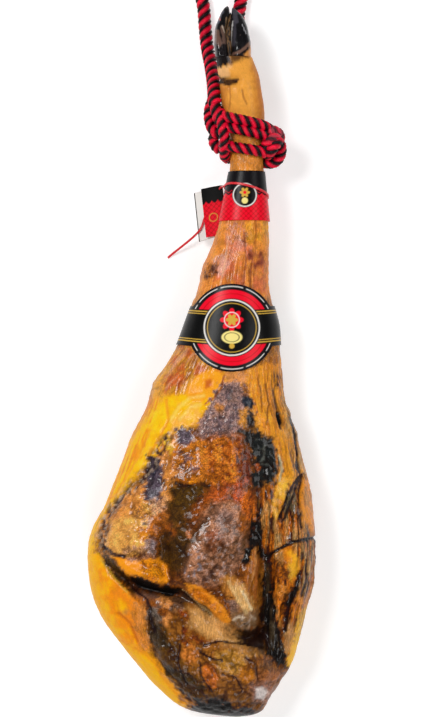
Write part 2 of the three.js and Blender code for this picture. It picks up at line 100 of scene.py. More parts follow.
# The ham's section is also what the rope, the bands and the seal are wrapped round. (y, value) rows.
LEFT_EDGE = [
    (350, 17), (322, 21), (297, 23), (274, 30), (232, 33), (202, 31), (160, 21), (132, 12), (107, 1),
    (86, -3), (53, -15), (16, -29), (-7, -42), (-28, -57), (-51, -63), (-88, -81), (-169, -113),
    (-193, -126), (-216, -132), (-237, -133), (-262, -130), (-295, -118), (-332, -92), (-364, -66),
    (-387, -44), (-401, -26), (-408, -8), (-412, 15), (-414, 33),
]
RIGHT_EDGE = [
    (350, 59), (322, 68), (290, 73), (232, 72), (197, 74), (160, 78), (90, 78), (35, 90), (0, 92),
    (-46, 97), (-74, 108), (-111, 117), (-172, 130), (-211, 133), (-255, 131), (-292, 122),
    (-332, 112), (-348, 107), (-385, 84), (-401, 74), (-408, 69), (-412, 60), (-414, 47),
]
CROWN = [
    (350, 82), (322, 84), (232, 78), (197, 79), (160, 83), (90, 90), (0, 99), (-100, 111), (-170, 114),
    (-230, 114), (-290, 110), (-340, 102), (-380, 88), (-401, 76), (-408, 69), (-412, 63), (-414, 58),
]
WAIST = [(350, 62), (232, 58), (160, 58), (90, 56), (0, 50), (-100, 46), (-250, 46), (-401, 54)]
RIND = [
    (350, 42), (290, 40), (232, 39), (197, 38.5), (160, 37), (120, 31), (90, 24), (35, 13), (0, 6),
    (-50, -2), (-120, -2.5), (-300, -2.5), (-350, 4), (-380, 14), (-401, 28), (-408, 36), (-412, 44),
    (-414, 50),
]
TOP_ROUNDNESS = 2.3
RIND_ROUNDNESS = 2.2


def profile(rows):
    """A cubic through (y, value) rows whose slope at each row is the harmonic mean of its neighbours'."""
    y, value = np.array(rows[::-1], float).T
    gaps = np.diff(y)
    slopes = np.diff(value) / gaps
    product = slopes[:-1] * slopes[1:]
    total = slopes[:-1] + slopes[1:]
    inner = np.where(product > 0, 2 * product / np.where(total == 0, 1, total), 0)
    bends = np.concatenate([slopes[:1], inner, slopes[-1:]])

    def at(place):
        place = np.clip(place, y[0], y[-1])
        i = np.clip(np.searchsorted(y, place) - 1, 0, len(gaps) - 1)
        t = (place - y[i]) / gaps[i]
        s = 1 - t
        ends = value[i] * s * s * (1 + 2 * t) + value[i + 1] * t * t * (1 + 2 * s)
        return ends + gaps[i] * t * s * (bends[i] * s - bends[i + 1] * t)

    return at


left_edge, right_edge, crown, waist, rind = map(profile, (LEFT_EDGE, RIGHT_EDGE, CROWN, WAIST, RIND))


def skin_point(y, angle, offset=0.0):
    """Points of the ham's section |x|^n + |z|^n = 1, stretched to its width and heights at y."""
    y, angle, offset = np.broadcast_arrays(np.asarray(y, float), np.asarray(angle, float), offset)
    middle = (left_edge(y) + right_edge(y)) / 2
    half = (right_edge(y) - left_edge(y)) / 2
    across = np.cos(angle)
    above = np.sin(angle) >= 0
    n = np.where(above, TOP_ROUNDNESS, RIND_ROUNDNESS)
    rise = np.clip(1 - np.abs(across) ** n, 0, 1) ** (1 / n)
    high = waist(y) + (crown(y) - waist(y) + offset) * rise
    low = np.maximum(0, waist(y) - (waist(y) - rind(y) + offset) * rise)
    return np.stack([middle + (half + offset) * across, y, np.where(above, high, low)], axis=-1)


def linear(colour):
    """Screen colours from 0 to 255 as the linear shares that a shader reads."""
    share = np.asarray(colour, float) / 255
    return np.where(share <= 0.04045, share / 12.92, ((share + 0.055) / 1.055) ** 2.4)


def smooth_step(low, high, value):
    """0 below low, 1 above high, and 3t^2 - 2t^3 between them."""
    t = np.clip((value - low) / (high - low), 0, 1)
    return t * t * (3 - 2 * t)


LATTICE_SIDE = 40
lattice = np.random.default_rng(71).random((LATTICE_SIDE,) * 3)
seeds = np.random.default_rng(72).random((LATTICE_SIDE,) * 3 + (3,))


def cloud(places, size, layers=3):
    """Soft noise from 0 to 1: random lattice values a size apart, blended, plus finer layers."""
    total = 0.0
    for layer in range(layers):
        at = places * 2.0**layer / np.asarray(size, float) + 9.7 * layer + 3.1
        low = np.floor(at).astype(int)
        t = at - low
        t = t * t * (3 - 2 * t)
        for corner in np.ndindex(2, 2, 2):
            i, j, k = np.moveaxis((low + corner) % LATTICE_SIDE, -1, 0)
            share = np.prod(np.where(corner, t, 1 - t), axis=-1)
            total = total + share * lattice[i, j, k] * 0.5**layer
    return total / (2 - 2 * 0.5**layers)


def pebbles(places, size):
    """Distance to the nearest of one random seed in each cell, in cells."""
    at = places / np.asarray(size, float)
    low = np.floor(at).astype(int)
    nearest = np.full(at.shape[:-1], 9.0)
    for corner in np.ndindex(3, 3, 3):
        cell = low + corner - 1
        i, j, k = np.moveaxis(cell % LATTICE_SIDE, -1, 0)
        nearest = np.minimum(nearest, np.linalg.norm(cell + seeds[i, j, k] - at, axis=-1))
    return nearest


SPAN_SAMPLES = 30  # places worked out between two points of a curve
SHORTEST_PATH = 8  # the fewest steps in a path


def smooth_path(points, gap):
    """A centripetal Catmull-Rom curve through points, cut into places about one gap apart, and the
    distances along it."""
    knots = np.array(points, float)
    rows = np.vstack([2 * knots[:1] - knots[1:2], knots, 2 * knots[-1:] - knots[-2:-1]])
    pace = np.linalg.norm(np.diff(rows, axis=0), axis=1, keepdims=True) ** 0.5
    a, b, c, d = rows[:-3], rows[1:-2], rows[2:-1], rows[3:]
    before, here, after = pace[:-2], pace[1:-1], pace[2:]
    leave = ((b - a) / before - (c - a) / (before + here) + (c - b) / here) * here
    arrive = ((c - b) / here - (d - b) / (here + after) + (d - c) / after) * here
    t = np.linspace(0, 1, SPAN_SAMPLES, endpoint=False)[None, :, None]
    ends = b[:, None] * (2 * t**3 - 3 * t**2 + 1) + c[:, None] * (3 * t**2 - 2 * t**3)
    curve = ends + leave[:, None] * (t**3 - 2 * t**2 + t) + arrive[:, None] * (t**3 - t**2)
    curve = np.vstack([curve.reshape(-1, 3), knots[-1:]])
    along = np.concatenate([[0], np.cumsum(np.linalg.norm(np.diff(curve, axis=0), axis=1))])
    at = np.linspace(0, along[-1], max(SHORTEST_PATH, int(along[-1] / gap)) + 1)
    return np.stack([np.interp(at, along, curve[:, k]) for k in range(3)], axis=-1), at


def carried_frames(path):
    """Two directions across a path at each place, carried along it without twisting."""
    ways = np.gradient(path, axis=0)
    ways /= np.linalg.norm(ways, axis=1, keepdims=True)
    side = np.cross(ways[0], (0.0, 0.3, 1.0))
    sides = []
    for way in ways:
        side = side - way * np.dot(side, way)
        side = side / np.linalg.norm(side)
        sides.append(side)
    sides = np.array(sides)
    return sides, np.cross(ways, sides)


def grid_piece(name, grid, caps=None, closed_rows=False, attributes=None):
    """A mesh on a grid of points in millimetres, whose columns close round it. Caps are points that
    shut its first and last rows. Its map "lay" counts columns and rows from 0 to 1, and it is
    turned right side out by its volume."""
    rows, columns = grid.shape[:2]
    points = grid.reshape(-1, 3) * MM
    bands = rows if closed_rows else rows - 1
    row, column = (place.ravel() for place in np.indices((bands, columns)))
    next_row, next_column = (row + 1) % rows, (column + 1) % columns
    quads = np.stack([row * columns + column, row * columns + next_column,
                      next_row * columns + next_column, next_row * columns + column], axis=1)
    u = np.stack([column, column + 1, column + 1, column], axis=1) / columns
    v = np.stack([row, row, row + 1, row + 1], axis=1) / rows
    corners, turn = quads.ravel(), np.full(len(quads), 4)
    maps = np.stack([u.ravel(), v.ravel()], axis=1)
    if caps is not None:
        around = np.arange(columns)
        beside = (around + 1) % columns
        first, last = rows * columns, rows * columns + 1
        base = (rows - 1) * columns
        points = np.vstack([points, np.array(caps, float) * MM])
        fans = np.vstack([np.stack([np.full(columns, first), beside, around], axis=1),
                          np.stack([np.full(columns, last), base + around, base + beside], axis=1)])
        corners = np.concatenate([corners, fans.ravel()])
        turn = np.concatenate([turn, np.full(len(fans), 3)])
        maps = np.vstack([maps, np.stack([np.repeat(around / columns, 3), np.zeros(3 * columns)], axis=1),
                          np.stack([np.repeat(around / columns, 3), np.ones(3 * columns)], axis=1)])
    starts = np.concatenate([[0], np.cumsum(turn)[:-1]])
    a, b, c, d = (points[quads[:, k]] for k in range(4))
    volume = np.sum(np.cross(b - a, c - a) * (a + b + c)) + np.sum(np.cross(c - a, d - a) * (a + c + d))
    if volume < 0:
        order = np.concatenate([start + np.arange(count)[::-1] for start, count in zip(starts, turn)])
        corners, maps = corners[order], maps[order]
    mesh = bpy.data.meshes.new(name)
    mesh.vertices.add(len(points))
    mesh.vertices.foreach_set("co", points.ravel())
    mesh.loops.add(len(corners))
    mesh.loops.foreach_set("vertex_index", corners)
    mesh.polygons.add(len(turn))
    mesh.polygons.foreach_set("loop_start", starts)
    mesh.polygons.foreach_set("loop_total", turn)
    mesh.update(calc_edges=True)
    mesh.uv_layers.new(name="lay").data.foreach_set("uv", maps.ravel())
    for key, values in (attributes or {}).items():
        values = values.reshape(rows * columns, -1)
        if caps is not None:
            values = np.vstack([values, values[:columns].mean(0), values[-columns:].mean(0)])
        full = np.hstack([values, np.ones((len(values), 4 - values.shape[1]))])
        mesh.color_attributes.new(key, "FLOAT_COLOR", "POINT").data.foreach_set("color", full.ravel())
    mesh.shade_smooth()
    mesh.validate()
    piece = bpy.data.objects.new(name, mesh)
    bpy.context.scene.collection.objects.link(piece)
    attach(piece, "root")
    return piece


NOISE_ROUGHNESS = 0.55


class Wire:
    """One socket of a material. Sums and products of wires add Math nodes, node() adds any other."""

    def __init__(self, tree, socket=None):
        self.tree, self.socket = tree, socket

    def node(self, kind, settings=None, values=None, out=0):
        """Adds a node of a kind, sets it, then sets or links its sockets, and gives one output."""
        new = self.tree.nodes.new("ShaderNode" + kind)
        for key, value in (settings or {}).items():
            setattr(new, key, value)
        for key, value in (values or {}).items():
            if isinstance(value, Wire):
                self.tree.links.new(value.socket, new.inputs[key])
            else:
                new.inputs[key].default_value = value
        return Wire(self.tree, new.outputs[out])

    def math(self, operation, first, second):
        return self.node("Math", {"operation": operation}, {0: first, 1: second})

    def __add__(self, other):
        return self.math("ADD", self, other)

    def __radd__(self, other):
        return self.math("ADD", other, self)

    def __sub__(self, other):
        return self.math("SUBTRACT", self, other)

    def __rsub__(self, other):
        return self.math("SUBTRACT", other, self)

    def __mul__(self, other):
        return self.math("MULTIPLY", self, other)

    def between(self, low, high):
        """0 where the wire is below low, 1 above high, smooth between."""
        return self.node("MapRange", {"interpolation_type": "SMOOTHSTEP"}, {0: self, 1: low, 2: high})

    def mix(self, first, second):
        """The colour first turned to second by this share."""
        return self.node("Mix", {"data_type": "RGBA"}, {0: self, 6: first, 7: second}, out=2)

    def places(self):
        """Places on the piece in its own metres."""
        return self.node("TexCoord", out=3)

    def attribute(self, name):
        """A colour held by the mesh."""
        return self.node("Attribute", {"attribute_name": name})

    def noise(self, places, scale, detail):
        """Soft noise of a scale per metre, with so many finer layers."""
        values = {"Vector": places, "Scale": scale, "Detail": detail, "Roughness": NOISE_ROUGHNESS}
        return self.node("TexNoise", {}, values)

    def bump(self, strength, depth):
        """A normal from this height, whose 1 stands for a depth in metres."""
        return self.node("Bump", {}, {"Strength": strength, "Distance": depth, "Height": self})

    def stretched(self, places, stretch):
        """Places with each axis multiplied by its own stretch."""
        return self.node("VectorMath", {"operation": "MULTIPLY"}, {0: places, 1: stretch})


def shade(colour):
    """A screen colour as a socket's four linear values."""
    return (*linear(colour), 1.0)


def new_material(name, constants):
    """A material with one Principled shader. Gives its first wire, and a call that finishes it."""
    material = bpy.data.materials.new(name)
    material.use_nodes = True
    tree = material.node_tree
    shader = tree.nodes["Principled BSDF"]
    for key, value in constants.items():
        shader.inputs[key].default_value = value

    def finish(**wires):
        for key, wire in wires.items():
            tree.links.new(wire.socket, shader.inputs[key.replace("_", " ")])
        return material

    return Wire(tree), finish


def strand_surface(points, diameter, lay):
    """A rope along a path: each of its section's four lobes is R(v + (1-v) sin(w)^n) high over its width
    w, and the section turns once in a lay. Gives the grid, the path, the distances along it, and the
    strands' heights, negative on black ones."""
    path, along = smooth_path(points, ROPE_RING_GAP)
    side, rise = carried_frames(path)
    around = 2 * np.pi * np.arange(ROPE_COLUMNS) / ROPE_COLUMNS
    pair = (around / np.pi) % 1.0
    red = pair < ROPE_RED_SHARE
    within = np.where(red, pair / ROPE_RED_SHARE, (pair - ROPE_RED_SHARE) / (1 - ROPE_RED_SHARE))
    lobe = np.clip(np.sin(np.pi * (within + 0.5 / ROPE_COLUMNS)), 0, 1) ** STRAND_ROUNDNESS
    radius = diameter / 2 * (STRAND_VALLEY + (1 - STRAND_VALLEY) * lobe)
    taper = np.clip(np.minimum(along, along[-1] - along) / (ROPE_END_REACH * diameter), 0, 1)
    taper = np.sqrt(1 - (1 - taper) ** 2) * 0.5 + 0.5
    turned = around + 2 * np.pi * along[:, None] / lay
    outward = np.cos(turned)[..., None] * side[:, None] + np.sin(turned)[..., None] * rise[:, None]
    grid = path[:, None] + (radius * taper[:, None])[..., None] * outward
    return grid, path, along, np.broadcast_to(np.where(red, lobe, -lobe), turned.shape)


def rope_dye_with_painted_light(grid, lobes, frayed=None):
    """Red strands where the lobe is positive, black where negative, unevenly dyed, with painted shade in the
    lines between them and a painted highlight on their crests, and pink where the rope is frayed: at a
    place, within a reach."""
    uneven = cloud(grid, 3.0, 2)[..., None]
    # painted shade in the valleys between strands and a painted highlight along each crest
    painted_relief_light = (VALLEY_SHADE + CREST_HIGHLIGHT * np.abs(lobes) ** CREST_EDGE)[..., None]
    strands = np.where((lobes > 0)[..., None], linear(ROPE_RED), linear(ROPE_BLACK))
    dye_with_painted_light = strands * (0.6 + 0.8 * uneven) * painted_relief_light
    if frayed is not None:
        centre, reach = np.array(frayed[:3]), frayed[3]
        near = np.exp(-np.sum(((grid - centre) / reach) ** 2, axis=-1))[..., None]
        worn = near * smooth_step(0.35, 0.6, cloud(grid, 2.0, 2))[..., None]
        dye_with_painted_light = dye_with_painted_light + (linear(ROPE_PINK) - dye_with_painted_light) * worn
    return dye_with_painted_light


def rope_material():
    """Shiny twisted yarn: fine lines along each strand from the rope's own map, and dyed colour with painted
    shade and highlights.
    """
    wire, finish = new_material("laid_rope", {"Specular IOR Level": 0.2})
    dye_with_painted_light = wire.attribute("dye_with_painted_light")
    lay = wire.node("UVMap", {"uv_map": "lay"})
    yarn = wire.noise(wire.stretched(lay, (96.0, 90.0, 1.0)), 1.0, 2.0)
    fluff = wire.noise(wire.places(), 1400.0, 2.0)
    tone = (yarn * 0.9 + fluff * 0.5).between(0.35, 1.05)
    colour = tone.mix(tone.mix(shade((8, 3, 6)), dye_with_painted_light), dye_with_painted_light)
    bump = (yarn + fluff * 0.5).bump(0.55, 0.0008)
    return finish(Base_Color=colour, Roughness=0.22 + yarn * 0.2, Normal=bump)


rope_finish = rope_material()
loop_grid, loop_path, loop_along, loop_lobes = strand_surface(FREE_LOOP, LOOP_DIAMETER, LOOP_LAY)
rope_loop = grid_piece("hanging_loop", loop_grid, caps=(loop_path[0], loop_path[-1]),
                       attributes={"dye_with_painted_light": rope_dye_with_painted_light(loop_grid, loop_lobes)})
rope_loop.data.materials.append(rope_finish)
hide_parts("rope_loop")
loop_path[0] * MM
(loop_path * MM).tolist()


def turn_route():
    """The three turns as one helix: each falls from left to right over the top, and back beneath."""
    step = np.arange(TURN_STEPS)
    half = TURN_STEPS // 2
    share = (step % half) / half
    rows = []
    for number, (left, right) in enumerate(zip(TURN_LEFT_Y, TURN_RIGHT_Y)):
        back = TURN_LEFT_Y[number + 1] if number + 1 < len(TURN_LEFT_Y) else right
        start = np.where(step < half, left, right)
        end = np.where(step < half, right, back)
        y = start + (end - start) * share
        rows.append(skin_point(y, np.pi - 2 * np.pi * step / TURN_STEPS, TURN_STAND_OFF))
    return np.vstack(rows)


for name, route in {"turns": turn_route(), **KNOT_ROUTES}.items():
    grid, path, _, lobes = strand_surface(route, TIED_DIAMETER, TIED_LAY)
    frayed = FRAYED_PLACE if name in FRAYED_RUNS else None
    part = grid_piece("tied_rope_" + name, grid, caps=(path[0], path[-1]),
                      attributes={"dye_with_painted_light": rope_dye_with_painted_light(grid, lobes, frayed)})
    part.data.materials.append(rope_finish)
    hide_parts("rope_turns")

# Ham
# A whole hind leg, salted and air-cured on the bone for years. The cut side shows yellow fat, dark dried
# meat, grey mould and the hip bone. The rest is rind. Its relief is the solid's, with finer folds.
HAM_TOP_COLUMNS = 184
HAM_LOW_COLUMNS = 66
WIDEST_Y = -200.0
SECTION_SAMPLES = 4000
FOOT_END_Y, BUTT_FACE_Y = 350, -414
FOOT_ROUNDING, BUTT_ROUNDING = 12, 18  # lengths of the two rounded ends
HAM_RINGS = (8, 134, 226, 24)  # on the foot's end, the shank, the cut face and the butt's end
BUTT_END = (40, -414.5, 54)
RELIEF_FADE = 0.45  # the relief is whole where the section rises above this share of its height
# Each stroke of the relief: its width, then x, y and height in mm along it
RELIEF = [
    (6, (-118, -223, -3), (-98, -244, -8), (-82, -255, -16), (-62, -262, -19), (-45, -266, -19),
     (-27, -269, -15), (-9, -277, -9), (13, -292, -7), (31, -307, -6)),
    (9, (-104, -224, 3), (-83, -239, 6), (-62, -247, 7), (-44, -253, 6), (-30, -256, 3)),
    (6, (-81, -258, -5), (-61, -281, -6), (-54, -299, -5), (-57, -325, -4), (-42, -354, -3)),
    (11, (66, -128, -3), (64, -162, -6), (61, -191, -9), (69, -218, -15), (73, -249, -19),
     (74, -283, -19), (71, -304, -18), (78, -328, -15), (86, -348, -10), (92, -364, -5)),
    (7, (63, -215, 3), (61, -234, 6), (56, -253, 5)),
    (7, (28, -299, -5), (38, -312, -11), (52, -318, -14), (66, -313, -12)),
    (9, (-27, -146, -3), (-39, -174, -6), (-44, -203, -9), (-41, -232, -10), (-38, -253, -8)),
    (6, (56, -198, -5), (48, -225, -6), (42, -240, -3)),
    (6, (-30, -260, -5), (-13, -264, -8), (5, -267, -9), (21, -261, -6)),
    (7, (-17, -267, 3), (3, -275, 6), (17, -289, 7), (31, -300, 4)),
    (12, (35, -253, 3), (45, -269, 8), (52, -285, 12), (48, -303, 12)),
    (14, (95, -104, 2), (106, -151, 6), (114, -197, 8), (115, -244, 8), (110, -290, 6), (104, -332, 4)),
    (5, (114, -137, -4), (106, -162, -6), (100, -186, -6), (96, -209, -3)),
    (6, (114, -234, -4), (104, -255, -7), (98, -278, -8), (92, -302, -8), (94, -330, -5)),
    (6, (88, -37, -2), (92, -67, -6), (103, -88, -3), (113, -118, -4)),
    (40, (5, -168, 7), (12, -203, 12), (4, -238, 11)),
    (20, (-100, -203, 4), (-83, -209, 6), (-62, -218, 5)),
    (38, (-25, -342, 4), (10, -354, 9), (45, -358, 9)),
    (14, (-57, -292, 3), (-39, -342, 5), (-2, -383, 4)),
    (9, (66, -378, 5), (73, -386, 5)),
    (5, (18, 327, -6), (30, 324, -8), (42, 322, -4)),
    (9, (45, 153, 1), (53, 118, 3), (56, 96, 1)),
    (14, (45, -46, -1), (56, -81, -4), (63, -116, -4)),
]
# Colours and fine creases are laid out on a plan of the ham seen from the camera's height. Its unit is
# 1.16 mm on a level 60 mm up, counted to the right and down from the plan's upper left corner.
PLAN_UNIT = 1.16
PLAN_ZERO = (-233.74, 417.6)
PLAN_LEVEL = 60.0
# How each kind of surface lies: gloss, heights in mm of its puffs, lumps, streaks and grain, its
# mottling, and how strongly shade is painted into its creases and light onto its crests
SURFACES = {
    "foot": (0.12, 0.2, 0.0, 0.1, 0.05, 0.04, 0.10),
    "skin": (0.36, 0.6, 0.0, 0.6, 0.15, 0.18, 0.40),
    "hide": (0.30, 0.7, 0.0, 1.6, 0.25, 0.20, 0.36),
    "fat": (0.16, 0.4, 0.0, 0.3, 0.05, 0.05, 0.12),
    "rind": (0.35, 1.2, 0.0, 0.8, 0.30, 0.40, 0.45),
    "fibre": (0.50, 0.5, 0.0, 1.7, 0.20, 0.30, 0.52),
    "meat": (0.42, 0.9, 0.5, 0.3, 0.60, 0.50, 0.72),
    "dim": (0.16, 0.9, 0.5, 0.3, 0.60, 0.50, 0.66),
    "pad": (0.62, 1.1, 0.9, 0.2, 0.70, 0.46, 0.70),
    "mould": (0.50, 1.6, 0.5, 0.0, 0.60, 0.60, 0.46),
    "curd": (0.45, 0.8, 3.0, 0.0, 0.25, 0.25, 0.44),
    "crumb": (0.50, 0.6, 3.4, 0.0, 0.30, 0.30, 0.66),
    "bark": (0.45, 0.8, 0.0, 3.0, 0.40, 0.60, 0.72),
    "bone": (0.40, 0.4, 0.0, 0.6, 0.20, 0.25, 0.35),
    "char": (0.45, 1.0, 0.5, 0.3, 0.45, 0.40, 0.60),
    "hole": (0.15, 0.3, 0.0, 0.3, 0.20, 0.20, 0.30),
}
